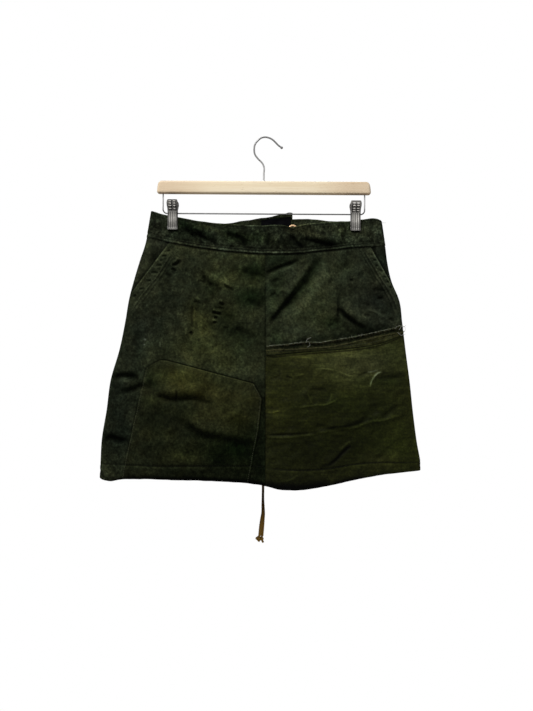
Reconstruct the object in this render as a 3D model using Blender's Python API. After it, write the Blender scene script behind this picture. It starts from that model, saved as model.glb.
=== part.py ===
"""A cargo utility skirt, clipped by its waistband to a wooden hanger.

The origin is the inner top of the hanger's hook, +Z is up, and the skirt's front faces -Y. Sizes
are in millimetres and become metres where a mesh or a curve is made. Every cloth piece is a thin
closed wall that is offset from one of two shared surfaces, the outer face of the hung skirt's front
and of its back, so that neighbouring pieces follow each other and keep their gaps.
"""
import math

import bmesh
import bpy
import numpy as np

MM = 0.001
FRONT, BACK = -1.0, 1.0
LEFT, RIGHT = "left", "right"

# Gap between two pieces that are sewn together, and the layers of the cloth, each from its outer
# to its inner face, measured outwards from the shared surface.
SEAM = 0.3
BAND = (0.0, -2.4)
PANEL = (-0.6, -1.8)
HEM_INNER = -3.0
PATCH = (1.1, 0.0)
WIDE_ALLOWANCE = (0.8, 0.0)
NARROW_ALLOWANCE = (2.0, 1.2)
FACING_SUNK = (-2.1, -3.1)
LABEL_LAYER = (-2.7, -3.3)

# How the skirt hangs: half the gap between its two folded sides, and how far the front and the
# back stand out between the clips at the waist and at the middle of the hem.
WAIST_Z, HEM_Z = -150.0, -565.0
HALF_GAP_WAIST, HALF_GAP_BELOW_BAND, HALF_GAP_HEM = 2.7, 3.6, 5.0
STAND_OUT = {FRONT: (12.0, 45.0), BACK: (4.0, 20.0)}
CLIP_REACH = 150.0
WAIST_FADE = 0.9
FOLD_FADE = 14.0

SIDES = [  # z, x of the left side fold, x of the right side fold
    (-122.0, -188.0, 194.0),
    (-152.0, -193.5, 194.5),
    (-178.0, -198.5, 198.5),
    (-204.0, -207.0, 202.0),
    (-237.0, -216.5, 209.5),
    (-270.0, -224.5, 223.0),
    (-304.0, -229.5, 227.5),
    (-354.0, -239.5, 233.0),
    (-404.0, -254.0, 240.0),
    (-454.0, -260.5, 245.5),
    (-504.0, -268.0, 252.5),
    (-540.0, -270.5, 258.5),
    (-575.0, -271.5, 256.5),
]
FRONT_TOP = [  # x, z of the front waistband's upper edge
    (-188.0, -122.6),
    (-161.0, -130.8),
    (-142.0, -133.4),
    (-92.0, -142.1),
    (-55.0, -145.6),
    (-8.0, -148.5),
    (35.0, -148.2),
    (45.0, -150.8),
    (59.0, -146.5),
    (108.0, -139.8),
    (138.0, -138.0),
    (160.0, -135.0),
    (189.0, -134.4),
    (194.5, -136.8),
]
FRONT_SEAM = [  # x, z of the seam under the front waistband
    (-194.5, -167.5),
    (-157.0, -176.0),
    (-110.0, -184.6),
    (-60.0, -192.0),
    (-7.0, -196.4),
    (47.0, -195.6),
    (110.0, -187.6),
    (140.0, -183.9),
    (199.0, -179.0),
]
FRONT_HEM = [  # x, z of the front's lower edge
    (-271.5, -564.6),
    (-259.0, -567.8),
    (-230.0, -563.2),
    (-123.0, -559.5),
    (-59.0, -560.9),
    (-8.0, -564.9),
    (30.0, -572.4),
    (56.0, -573.0),
    (81.0, -570.1),
    (107.0, -565.8),
    (133.0, -560.4),
    (186.0, -553.0),
    (214.0, -550.6),
    (257.5, -548.2),
]
BACK_TOP_LEFT = [  # x, z of the left back waistband's upper edge, which laps over the middle
    (-188.0, -122.6),
    (-152.0, -132.0),
    (-100.0, -141.0),
    (-56.0, -142.5),
    (-25.0, -136.6),
    (-10.0, -132.8),
    (34.0, -124.4),
    (46.5, -124.6),
]
BACK_TOP_RIGHT = [  # x, z of the right back waistband's upper edge
    (8.0, -134.5),
    (49.0, -133.6),
    (81.0, -134.4),
    (109.0, -137.6),
    (150.0, -137.6),
    (194.5, -136.8),
]
BACK_SEAM = [  # x, z of the seam under the back waistband
    (-194.5, -167.5),
    (-110.0, -178.0),
    (0.0, -177.0),
    (110.0, -179.0),
    (199.0, -179.0),
]
LAP_LOWER_EDGE = [  # x, z of the lower edge of the lapped end
    (0.0, -177.0),
    (46.5, -167.0),
]
BACK_HEM = [  # x, z of the back's lower edge
    (-271.5, -564.6),
    (-200.0, -559.0),
    (-130.0, -557.0),
    (0.0, -556.0),
    (130.0, -552.0),
    (257.5, -548.2),
]
CENTRE_FRONT = [(1.5, -196.0), (3.7, -567.5)]
CENTRE_BACK_X = 0.0
LAP_START, LAP_END = 8.0, 46.5
LAP_RISE, LAP_EASE = (2.7, (50.0, 75.0))

OPENINGS = {  # x at the waist seam, and x, z at the side fold, of each slanting pocket opening
    LEFT: (-158.2, -222.4, -264.0),
    RIGHT: (175.9, 211.6, -244.0),
}
FACING_UNDERLAP = 12.0
FACING_TIP = {LEFT: 0.8, RIGHT: 0.6}

FOLDS = {  # x, z of both ends, half width, height out of the cloth
    FRONT: [
        (9.0, -305.0, 62.0, -236.0, 11.0, 2.4),
        (62.0, -236.0, 88.0, -203.0, 10.0, 2.0),
        (7.0, -226.0, 56.0, -203.0, 9.0, -1.6),
        (122.0, -282.0, 173.0, -320.0, 14.0, 1.6),
        (-119.0, -192.0, -118.0, -316.0, 7.0, -1.3),
        (121.0, -190.0, 121.0, -304.0, 7.0, -1.3),
        (-140.0, -146.0, -90.0, -175.0, 9.0, -1.4),
        (42.0, -156.0, 66.0, -180.0, 8.0, -1.5),
        (66.0, -170.0, 116.0, -178.0, 7.0, -1.2),
        (-77.0, -272.0, -75.0, -308.0, 10.0, -1.8),
        (-106.0, -225.0, -69.0, -255.0, 12.0, 1.6),
        (-244.0, -401.0, -204.0, -396.0, 13.0, -1.4),
        (-240.0, -426.0, -208.0, -415.0, 13.0, 1.2),
        (-252.0, -500.0, -222.0, -491.0, 13.0, -1.4),
        (102.0, -483.0, 173.0, -467.0, 9.0, 1.5),
        (173.0, -467.0, 222.0, -458.0, 9.0, 1.2),
        (109.0, -535.0, 143.0, -505.0, 9.0, 1.4),
        (-150.0, -440.0, -160.0, -560.0, 32.0, 3.0),
        (40.0, -470.0, 46.0, -570.0, 30.0, 3.0),
        (150.0, -400.0, 180.0, -545.0, 34.0, -3.0),
    ],
    BACK: [
        (-60.0, -230.0, -88.0, -330.0, 24.0, 2.0),
        (70.0, -215.0, 96.0, -300.0, 22.0, -1.8),
        (-120.0, -420.0, -135.0, -552.0, 34.0, 3.0),
        (110.0, -400.0, 128.0, -548.0, 36.0, -2.6),
    ],
}

CARGO_TOP = [  # x, z round the top of the cargo pocket
    (-193.0, -382.9),
    (-169.7, -370.3),
    (-158.0, -371.0),
    (-16.3, -406.8),
    (-2.5, -430.6),
]
CARGO_RIGHT = [(-2.5, -430.6), (-7.7, -480.6), (-22.3, -561.0)]
CARGO_LEFT = [(-193.0, -382.9), (-231.4, -562.4)]
CARGO_SHORTER = 0.8

YOKE_SEAM = [  # x, z of the stitched line between the right front's upper part and its canvas
    (2.9, -362.5),
    (55.0, -357.4),
    (94.0, -353.9),
    (144.0, -349.6),
    (194.0, -340.4),
    (228.0, -327.2),
]
WIDE_RAW_EDGE = [  # x, z of the frayed edge of the canvas's allowance
    (2.8, -346.4),
    (36.0, -343.0),
    (71.0, -338.9),
    (86.0, -339.6),
    (114.0, -335.4),
    (144.0, -330.3),
    (174.0, -323.7),
    (204.0, -316.8),
    (225.0, -311.5),
]
NARROW_RAW_EDGE = [  # x, z of the raw edge of the upper part's allowance, which lies over it
    (2.8, -352.9),
    (55.0, -350.4),
    (114.0, -345.2),
    (174.0, -331.9),
    (222.0, -322.0),
]
ALLOWANCE_SHORTER = 2.5

HEM_DEPTH = 21.0
LABEL_LEFT, LABEL_RIGHT, LABEL_DROP, LABEL_HEIGHT = -12.9, 43.5, 1.6, 19.0

# The hanger: a wooden bar, a steel hook, a wire that hangs under the bar and two clips on it.
HANGER_X = -1.6
BAR_LENGTH, BAR_HEIGHT, BAR_DEPTH, BAR_TOP = 355.0, 20.5, 12.0, -73.0
BAR_ROUNDING = 4.0
HOOK_RADIUS, WIRE_RADIUS, HOLE_CLEARANCE = 1.4, 1.1, 0.35
HOOK_HOLE_DEPTH, WIRE_HOLE_DEPTH = 15.0, 10.0
HOOK = [  # x, z along the hook's middle line, from inside the bar to the tip
    (-2.0, -87.0),
    (-2.0, -60.0),
    (-2.1, -47.5),
    (-4.0, -43.0),
    (-12.6, -33.8),
    (-17.0, -27.4),
    (-18.3, -18.5),
    (-16.8, -10.6),
    (-12.3, -4.6),
    (-6.5, 0.1),
    (0.0, 1.4),
    (6.3, 0.2),
    (12.4, -3.0),
    (17.6, -7.8),
    (22.2, -13.0),
    (27.0, -16.8),
]
HOOK_POINTS = 42
WIRE_Z, WIRE_HALF_SPAN, WIRE_BEND, WIRE_BEND_STEPS = -126.5, 167.5, 7.0, 5
CLIP_X = {LEFT: -152.8, RIGHT: 150.6}
CLIP_WIDTH, JAW_THICKNESS = 17.4, 1.2
JAW = [  # distance of the plate's middle from the hanger's plane, z
    (10.6, -105.6),
    (9.2, -112.0),
    (5.6, -121.0),
    (4.55, -126.5),
    (4.6, -132.0),
    (4.9, -140.0),
    (3.85, -147.6),
    (3.85, -149.6),
    (5.3, -153.4),
]
SPRING_OUTER, SPRING_INNER, SPRING_LENGTH = 3.6, 1.5, 12.0

# The tie: two thin cords that come out at the back of the waist and hang past the hem.
CORD_RADIUS, CORD_SPACING = 1.6, 9.4
CORD_ROUTES = {  # x, y, z
    LEFT: [
        (-5.5, 9.6, -158.0),
        (-5.2, 10.8, -164.0),
        (-4.6, 11.9, -180.0),
        (-4.0, 12.9, -200.0),
        (-3.0, 16.8, -300.0),
        (-2.0, 20.4, -400.0),
        (-1.4, 24.5, -500.0),
        (-1.0, 27.3, -556.0),
        (-0.6, 27.6, -590.0),
        (-0.8, 27.6, -615.0),
        (-0.8, 27.6, -632.0),
        (-3.4, 27.2, -648.0),
        (-5.6, 27.0, -659.0),
        (-6.8, 27.0, -669.0),
    ],
    RIGHT: [
        (2.0, 9.6, -158.0),
        (1.9, 10.8, -164.0),
        (1.7, 11.9, -180.0),
        (1.5, 12.9, -200.0),
        (1.4, 16.8, -300.0),
        (2.2, 20.6, -400.0),
        (2.4, 26.6, -500.0),
        (0.5, 31.0, -548.0),
        (0.2, 31.5, -590.0),
        (0.2, 31.5, -612.0),
        (1.3, 31.4, -629.0),
        (0.7, 31.2, -644.0),
        (0.2, 31.1, -655.0),
        (-0.3, 31.2, -664.0),
        (0.4, 31.2, -671.0),
    ],
}
KNOT_RADIUS = 3.0
TIE_LOOP = [  # x, y, z of the piece of the tie that shows beside the label
    (40.6, 0.6, -149.5),
    (43.2, 0.4, -146.6),
    (47.0, 0.4, -145.6),
    (51.0, 0.6, -147.2),
    (53.6, 0.9, -151.0),
    (54.4, 1.2, -157.0),
]
TIE_LOOP_RADIUS, TIE_LOOP_POINTS = 1.9, 14


# Tables and lines ------------------------------------------------------------------------------
def smooth(share):
    """0 to 1 with soft ends."""
    share = np.clip(share, 0.0, 1.0)
    return share * share * (3.0 - 2.0 * share)


def curve(rows, at, column=1):
    """A column of a table, read on a smooth curve through its rows, by the first column."""
    table = np.array(sorted(rows))
    knots, values = table[:, 0], table[:, column]
    slopes = np.gradient(values, knots)
    at = np.clip(at, knots[0], knots[-1])
    low = np.clip(np.searchsorted(knots, at) - 1, 0, len(knots) - 2)
    gap = knots[low + 1] - knots[low]
    t = (at - knots[low]) / gap
    return (
        (2 * t**3 - 3 * t**2 + 1) * values[low]
        + (t**3 - 2 * t**2 + t) * gap * slopes[low]
        + (3 * t**2 - 2 * t**3) * values[low + 1]
        + (t**3 - t**2) * gap * slopes[low + 1]
    )


def lengths_along(points):
    steps = np.linalg.norm(np.diff(points, axis=0), axis=1)
    return np.concatenate([[0.0], np.cumsum(steps)])


def at_shares(points, shares):
    """Points at the given shares of a line's length."""
    points = np.asarray(points, float)
    lengths = lengths_along(points)
    wanted = np.asarray(shares) * lengths[-1]
    return np.stack([np.interp(wanted, lengths, points[:, i]) for i in range(points.shape[1])], axis=-1)


def smooth_line(rows, count):
    """Evenly spaced points on a smooth curve through the rows of a route."""
    rows = np.asarray(rows, float)
    lengths = lengths_along(rows)
    fine = np.linspace(0.0, lengths[-1], 12 * count)
    columns = [curve(list(zip(lengths, rows[:, i])), fine) for i in range(rows.shape[1])]
    return at_shares(np.stack(columns, axis=-1), np.linspace(0.0, 1.0, count))


def table_line(rows, start, stop, count=60):
    """Points on a table's curve between two x."""
    x = np.linspace(start, stop, count)
    return np.stack([x, curve(rows, x)], axis=-1)


def side_line(side, top, low, count=40):
    """Points down a side fold between two z."""
    z = np.linspace(top, low, count)
    return np.stack([curve(SIDES, z, 1 if side == LEFT else 2), z], axis=-1)


def corner(side, rows):
    """Where a table's curve meets a side fold."""
    z = -400.0
    for _ in range(8):
        x = float(curve(SIDES, z, 1 if side == LEFT else 2))
        z = float(curve(rows, x))
    return x, z


def centre_front_x(z):
    (x0, z0), (x1, z1) = CENTRE_FRONT
    return x0 + (x1 - x0) * (z - z0) / (z1 - z0)


def lowered(points, drop):
    return np.asarray(points, float) - np.array([0.0, drop])


# The hung cloth's two surfaces -----------------------------------------------------------------
def fall(z):
    """0 at the waist, 1 at the hem."""
    return np.clip((WAIST_Z - z) / (WAIST_Z - HEM_Z), 0.0, 1.0)


def half_gap(z):
    down = fall(z)
    below_band = (HALF_GAP_BELOW_BAND - HALF_GAP_WAIST) * smooth(down / 0.1)
    return HALF_GAP_WAIST + below_band + (HALF_GAP_HEM - HALF_GAP_BELOW_BAND) * down


def side_distance(x, z):
    """Distance to the nearer side fold, and 1 where that is the left one, -1 where the right."""
    from_left = x - curve(SIDES, z, 1)
    from_right = curve(SIDES, z, 2) - x
    return np.maximum(np.minimum(from_left, from_right), 0.0), np.where(from_left < from_right, 1.0, -1.0)


def fold_height(x, z, x0, z0, x1, z1, width, height):
    """A soft ridge or trough along a straight line."""
    run, rise = x1 - x0, z1 - z0
    share = np.clip(((x - x0) * run + (z - z0) * rise) / (run**2 + rise**2), 0.0, 1.0)
    away = np.hypot(x - x0 - share * run, z - z0 - share * rise)
    return height * np.exp(-((away / width) ** 2))


def bulge(face, x, z):
    """How far the cloth stands out in front of its folded sides."""
    at_waist, at_hem = STAND_OUT[face]
    left, right = curve(SIDES, z, 1), curve(SIDES, z, 2)
    across = np.clip((2 * x - left - right) / (right - left), -1.0, 1.0)
    down = fall(z)
    between_clips = np.cos(0.5 * math.pi * np.clip(x / CLIP_REACH, -1.0, 1.0)) ** 2
    out = at_waist * between_clips * (1.0 - smooth(down / WAIST_FADE)) + at_hem * down * (1.0 - across**2)
    folds = sum(fold_height(x, z, *row) for row in FOLDS[face])
    return out + folds * smooth(side_distance(x, z)[0] / FOLD_FADE)


def surface(face, x, z):
    """Points of the cloth's outer face at x and z, and its outward normals."""
    step = 0.5
    away, side = side_distance(x, z)
    radius = half_gap(z)
    cosine = 1.0 - np.clip(away / radius, 0.0, 1.0)
    sine = np.sqrt(1.0 - cosine**2)
    slope_x = (bulge(face, x + step, z) - bulge(face, x - step, z)) / (2 * step)
    slope_z = (bulge(face, x, z + step) - bulge(face, x, z - step)) / (2 * step)
    lean = (side_distance(x, z + step)[0] - side_distance(x, z - step)[0]) / (2 * step)
    points = np.stack([x, face * (radius * sine + bulge(face, x, z)), z], axis=-1)
    normals = np.stack(
        [
            -(side * cosine + slope_x * sine),
            face * sine,
            -(cosine * lean + slope_z * sine),
        ],
        axis=-1,
    )
    return points, normals / np.linalg.norm(normals, axis=-1, keepdims=True)


# Meshes ----------------------------------------------------------------------------------------
def material(name, colour, roughness, metallic=0.0):
    made = bpy.data.materials.new(name)
    made.use_nodes = True
    made.diffuse_color = (*colour, 1.0)
    shader = made.node_tree.nodes["Principled BSDF"]
    shader.inputs["Base Color"].default_value = (*colour, 1.0)
    shader.inputs["Roughness"].default_value = roughness
    shader.inputs["Metallic"].default_value = metallic
    return made


def mesh_object(name, points, faces, look):
    """A closed mesh from points in millimetres, with its faces turned outwards."""
    mesh = bpy.data.meshes.new(name)
    mesh.from_pydata((np.asarray(points, float) * MM).tolist(), [], faces)
    shape = bmesh.new()
    shape.from_mesh(mesh)
    bmesh.ops.recalc_face_normals(shape, faces=shape.faces)
    shape.to_mesh(mesh)
    shape.free()
    mesh.shade_smooth()
    mesh.set_sharp_from_angle(angle=math.radians(40.0))
    return placed(name, mesh, look)


def placed(name, data, look):
    made = bpy.data.objects.new(name, data)
    data.materials.append(look)
    bpy.context.collection.objects.link(made)
    return made


def grid_faces(rows, columns):
    """Quads of the two skins of a wall and of the rim between them."""
    first = np.arange(rows * columns).reshape(rows, columns)
    second = first + rows * columns
    faces = []
    for r in range(rows - 1):
        for c in range(columns - 1):
            ring = [(r, c), (r + 1, c), (r + 1, c + 1), (r, c + 1)]
            faces.append([int(first[i]) for i in ring])
            faces.append([int(second[i]) for i in reversed(ring)])
    rim = [(0, c) for c in range(columns)] + [(r, columns - 1) for r in range(1, rows)]
    rim += [(rows - 1, c) for c in range(columns - 2, -1, -1)] + [(r, 0) for r in range(rows - 2, 0, -1)]
    for here, after in zip(rim, rim[1:] + rim[:1]):
        faces.append([int(first[here]), int(first[after]), int(second[after]), int(second[here])])
    return faces


def wall(name, face, grid, outer, inner, look):
    """A cloth piece: two skins at offsets from a surface, kept on their own side of the middle."""
    x, z = grid[..., 0], grid[..., 1]
    points, normals = surface(face, x, z)
    skins = []
    for offset in (outer, inner):
        skin = points + normals * np.broadcast_to(offset, x.shape)[..., None]
        skin[..., 1] = face * np.maximum(face * skin[..., 1], 0.5 * SEAM)
        skins.append(skin.reshape(-1, 3))
    return mesh_object(name, np.concatenate(skins), grid_faces(*x.shape), look)


def patch(top, bottom, left, right, across, down):
    """Rows of x, z points between four lines; top and bottom run to the right, the others down."""
    s = np.asarray(across, float)[None, :, None]
    t = np.asarray(down, float)[:, None, None]
    upper, lower = at_shares(top, across)[None], at_shares(bottom, across)[None]
    before, after = at_shares(left, down)[:, None], at_shares(right, down)[:, None]
    (p00, p10), (p01, p11) = (np.asarray(top)[[0, -1]], np.asarray(bottom)[[0, -1]])
    corners = (1 - s) * (1 - t) * p00 + s * (1 - t) * p10 + (1 - s) * t * p01 + s * t * p11
    return (1 - t) * upper + t * lower + (1 - s) * before + s * after - corners


def shares(count, folded_side=None, width=240.0, marks=()):
    """Even shares, closer along a folded side, with extra ones at the marks."""
    rounding = [round(4.0 * (1.0 - math.cos(math.radians(angle))) / width, 5) for angle in (35, 65, 90)]
    found = list(np.linspace(0.0, 1.0, count + 1)) + list(marks)
    if folded_side == LEFT:
        found += rounding
    if folded_side == RIGHT:
        found += [1.0 - share for share in rounding]
    return sorted(found)


def share_at(line, z):
    """The share of a falling line's length at which it passes z."""
    line = np.asarray(line, float)
    lengths = lengths_along(line) / lengths_along(line)[-1]
    return float(np.interp(-z, -line[:, 1], lengths))


# Cloth pieces ----------------------------------------------------------------------------------
def waistband(name, face, top, bottom, folded_side, look, outer=BAND[0], columns=34):
    left = np.array([top[0], bottom[0]])
    right = np.array([top[-1], bottom[-1]])
    width = top[-1][0] - top[0][0]
    across = shares(columns, folded_side if folded_side != "both" else LEFT, width)
    if folded_side == "both":
        across = sorted(set(across) | {1.0 - share for share in across})
    grid = patch(top, bottom, left, right, across, np.linspace(0.0, 1.0, 4))
    if callable(outer):
        outer = outer(grid[..., 0])
    return wall(name, face, grid, outer, outer - (BAND[0] - BAND[1]), look)


def lap_rise(x):
    """The right back waistband passes outside the lapped end of the left one."""
    near, far = LAP_EASE
    return LAP_RISE * (1.0 - smooth((x - near) / (far - near)))


def make_waistbands(look):
    front_top = table_line(FRONT_TOP, corner(LEFT, FRONT_TOP)[0], corner(RIGHT, FRONT_TOP)[0])
    front_low = table_line(FRONT_SEAM, corner(LEFT, FRONT_SEAM)[0], corner(RIGHT, FRONT_SEAM)[0])
    waistband("front_waistband", FRONT, front_top, front_low, "both", look("front_waistband"), columns=28)

    left_top = table_line(BACK_TOP_LEFT, corner(LEFT, BACK_TOP_LEFT)[0], LAP_END)
    left_low = np.concatenate(
        [
            table_line(BACK_SEAM, corner(LEFT, BACK_SEAM)[0], CENTRE_BACK_X),
            table_line(LAP_LOWER_EDGE, CENTRE_BACK_X + 1.0, LAP_END, 12),
        ]
    )
    waistband("back_waistband_left", BACK, left_top, left_low, LEFT, look("back_waistband_left"), columns=17)

    right_top = table_line(BACK_TOP_RIGHT, LAP_START, corner(RIGHT, BACK_TOP_RIGHT)[0])
    right_low = table_line(BACK_SEAM, LAP_START, corner(RIGHT, BACK_SEAM)[0])
    waistband(
        "back_waistband_right", BACK, right_top, right_low, RIGHT, look("back_waistband_right"), lap_rise, 14
    )


def opening_line(side):
    """The slanting pocket opening, from the waist seam down to the side fold."""
    top_x, low_x, low_z = OPENINGS[side]
    return np.array([(top_x, float(curve(FRONT_SEAM, top_x))), (low_x, low_z)])


def outer_edge(side, low):
    """A front panel's outer edge: the pocket opening, then the side fold down to low."""
    opening = lowered(opening_line(side), SEAM)
    below = side_line(side, OPENINGS[side][2] - 1.5, low)
    return np.concatenate([opening, below])


def hem_offsets(left_edge, right_edge, down):
    """Inner offsets of a panel's rows, with the cloth doubled inwards along the hem."""
    length = 0.5 * (lengths_along(left_edge)[-1] + lengths_along(right_edge)[-1])
    doubled = np.asarray(down) > 1.0 - HEM_DEPTH / length
    return np.where(doubled, HEM_INNER, PANEL[1])[:, None]


def hem_marks(left_edge, right_edge):
    length = 0.5 * (lengths_along(left_edge)[-1] + lengths_along(right_edge)[-1])
    return 1.0 - (HEM_DEPTH + 0.6) / length, 1.0 - (HEM_DEPTH - 0.1) / length


def make_front_left(look):
    seam_z = float(curve(FRONT_SEAM, CENTRE_FRONT[0][0]))
    hem_x, hem_z = corner(LEFT, FRONT_HEM)
    centre_z = np.array([seam_z - SEAM, float(curve(FRONT_HEM, CENTRE_FRONT[1][0]))])
    right = np.stack([centre_front_x(centre_z) - 0.5 * SEAM, centre_z], axis=-1)
    left = outer_edge(LEFT, hem_z)
    top = lowered(table_line(FRONT_SEAM, OPENINGS[LEFT][0], right[0][0]), SEAM)
    bottom = table_line(FRONT_HEM, hem_x, right[1][0])
    marks = (share_at(left, OPENINGS[LEFT][2]), *hem_marks(left, right))
    down = shares(22, marks=marks)
    grid = patch(top, bottom, left, right, shares(17, LEFT), down)
    wall("front_left", FRONT, grid, PANEL[0], hem_offsets(left, right, down), look("front_left"))


def make_front_right_upper(look):
    top_z = float(curve(FRONT_SEAM, CENTRE_FRONT[0][0])) - SEAM
    low_z = YOKE_SEAM[0][1] + 0.5 * SEAM
    left = np.array([(centre_front_x(z) + 0.5 * SEAM, z) for z in (top_z, low_z)])
    side_x, side_z = corner(RIGHT, YOKE_SEAM)
    right = outer_edge(RIGHT, side_z + 0.5 * SEAM)
    top = lowered(table_line(FRONT_SEAM, left[0][0], OPENINGS[RIGHT][0]), SEAM)
    bottom = lowered(table_line(YOKE_SEAM, left[1][0], side_x), -0.5 * SEAM)
    down = shares(12, marks=(share_at(right, OPENINGS[RIGHT][2]),))
    grid = patch(top, bottom, left, right, shares(15, RIGHT), down)
    wall("front_right_upper", FRONT, grid, *PANEL, look("front_right_upper"))


def make_front_right_lower(look):
    side_x, side_z = corner(RIGHT, YOKE_SEAM)
    hem_x, hem_z = corner(RIGHT, FRONT_HEM)
    centre_z = np.array([YOKE_SEAM[0][1] - 0.5 * SEAM, float(curve(FRONT_HEM, CENTRE_FRONT[1][0]))])
    left = np.stack([centre_front_x(centre_z) + 0.5 * SEAM, centre_z], axis=-1)
    right = side_line(RIGHT, side_z - 0.5 * SEAM, hem_z)
    top = lowered(table_line(YOKE_SEAM, left[0][0], side_x), 0.5 * SEAM)
    bottom = table_line(FRONT_HEM, left[1][0], hem_x)
    down = shares(14, marks=hem_marks(left, right))
    grid = patch(top, bottom, left, right, shares(17, RIGHT), down)
    wall("front_right_lower", FRONT, grid, PANEL[0], hem_offsets(left, right, down), look("front_right_lower"))


def make_facing(side, look):
    """The pocket facing: level with the front beside it, sunk where it runs under the opening."""
    inwards = 1.0 if side == LEFT else -1.0
    seam_x, seam_z = corner(side, FRONT_SEAM)
    opening = opening_line(side)
    tip = np.array([curve(SIDES, opening[1][1] + 4.0, 1 if side == LEFT else 2), opening[1][1] + 4.0])
    across, down = np.linspace(0.0, 1.0, 7), shares(8, marks=(FACING_TIP[side],))
    inner_edge = at_shares(opening, down)
    under = np.where(np.asarray(down) < FACING_TIP[side], FACING_UNDERLAP * (1.0 - np.asarray(down)), -0.6)
    inner_edge[:, 0] += inwards * under
    inner_edge[-1] = tip + np.array([inwards * 0.8, 0.0])
    inner_edge[0, 1] = float(curve(FRONT_SEAM, inner_edge[0, 0]))
    outer = side_line(side, seam_z, tip[1])
    top = table_line(FRONT_SEAM, seam_x, inner_edge[0, 0], 12)
    bottom = np.array([outer[-1], inner_edge[-1]])
    lines = (lowered(top, SEAM), bottom, lowered(outer, SEAM), inner_edge - [(0.0, SEAM)])
    lines[3][-1], lines[2][-1] = bottom[1], bottom[0]
    if side == RIGHT:
        lines = (lines[0][::-1], lines[1][::-1], lines[3], lines[2])
    grid = facing_grid(lines, across, down)
    offsets = [facing_offset(side, grid, layer) for layer in range(2)]
    wall(f"pocket_facing_{side}", FRONT, grid, *offsets, look(f"pocket_facing_{side}"))


def facing_grid(lines, across, down):
    """Straight rows between the facing's two long edges, under its curved top."""
    top, _, left, right = lines
    t = np.asarray(down)[:, None, None]
    s = np.asarray(across)[None, :, None]
    before = at_shares(left, down)[:, None]
    after = right[:, None] if len(right) == len(down) else at_shares(right, down)[:, None]
    if len(left) == len(down):
        before = left[:, None]
    straight = (1 - s) * before + s * after
    arched = at_shares(top, across)[None] - straight[:1]
    return straight + arched * (1 - t)


def facing_offset(side, grid, layer):
    """Sinks from the front's level to under it, over the last millimetres before the opening."""
    inwards = 1.0 if side == LEFT else -1.0
    opening = opening_line(side)
    line_x = np.interp(-grid[..., 1], -opening[:, 1], opening[:, 0])
    past = inwards * (grid[..., 0] - line_x)
    away = side_distance(grid[..., 0], grid[..., 1])[0]
    sunk = smooth((past + 12.0) / 9.0) * smooth((away - 1.0) / 5.0)
    return PANEL[layer] + (FACING_SUNK[layer] - PANEL[layer]) * sunk


def make_cargo_pocket(look):
    right_x = CARGO_RIGHT[-1][0]
    left_x = CARGO_LEFT[-1][0]
    bottom = lowered(table_line(FRONT_HEM, left_x, right_x), -CARGO_SHORTER)
    left = np.array([CARGO_LEFT[0], bottom[0]])
    right = np.array([*CARGO_RIGHT[:-1], bottom[-1]])
    marks = (share_at(right, CARGO_RIGHT[1][1]),)
    tops = lengths_along(CARGO_TOP) / lengths_along(CARGO_TOP)[-1]
    grid = patch(CARGO_TOP, bottom, left, right, shares(13, marks=tops[1:-1]), shares(11, marks=marks))
    wall("cargo_pocket", FRONT, grid, *PATCH, look("cargo_pocket"))


def make_allowance(name, raw_edge, layer, look):
    """One layer of the seam allowance that stands up on the outside above the stitched line."""
    start = YOKE_SEAM[0][0] + 1.0
    stop = corner(RIGHT, raw_edge)[0] - ALLOWANCE_SHORTER
    top = table_line(raw_edge, start, stop)
    bottom = lowered(table_line(YOKE_SEAM, start, stop), -1.2)
    left, right = np.array([top[0], bottom[0]]), np.array([top[-1], bottom[-1]])
    grid = patch(top, bottom, left, right, shares(20), np.linspace(0.0, 1.0, 3))
    wall(name, FRONT, grid, *layer, look(name))


def make_back(side, look):
    hem_x, hem_z = corner(side, BACK_HEM)
    seam_x, seam_z = corner(side, BACK_SEAM)
    outer = side_line(side, seam_z - SEAM, hem_z)
    middle_x = CENTRE_BACK_X + (-0.5 if side == LEFT else 0.5) * SEAM
    middle_z = (float(curve(BACK_SEAM, middle_x)) - SEAM, float(curve(BACK_HEM, middle_x)))
    middle = np.array([(middle_x, z) for z in middle_z])
    top = lowered(table_line(BACK_SEAM, *sorted((seam_x, middle_x))), SEAM)
    bottom = table_line(BACK_HEM, *sorted((hem_x, middle_x)))
    left, right = (outer, middle) if side == LEFT else (middle, outer)
    down = shares(13, marks=hem_marks(left, right))
    grid = patch(top, bottom, left, right, shares(10, side), down)
    name = f"back_{side}"
    wall(name, BACK, grid, PANEL[0], hem_offsets(left, right, down), look(name))


def make_label(look):
    top = lowered(table_line(BACK_TOP_LEFT, LABEL_LEFT, LABEL_RIGHT, 20), LABEL_DROP)
    bottom = lowered(top, LABEL_HEIGHT)
    left, right = np.array([top[0], bottom[0]]), np.array([top[-1], bottom[-1]])
    grid = patch(top, bottom, left, right, shares(8), np.linspace(0.0, 1.0, 4))
    wall("label", BACK, grid, *LABEL_LAYER, look("label"))


# The tie ---------------------------------------------------------------------------------------
def tube(name, points, radius, look):
    """A round cord or wire: a poly curve with a bevel and filled ends."""
    line = bpy.data.curves.new(name, "CURVE")
    line.dimensions = "3D"
    line.bevel_depth = radius * MM
    line.bevel_resolution = 2
    line.use_fill_caps = True
    spline = line.splines.new("POLY")
    spline.points.add(len(points) - 1)
    for point, place in zip(spline.points, points):
        point.co = (*(float(value) * MM for value in place), 1.0)
    spline.use_smooth = True
    return placed(name, line, look)


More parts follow.
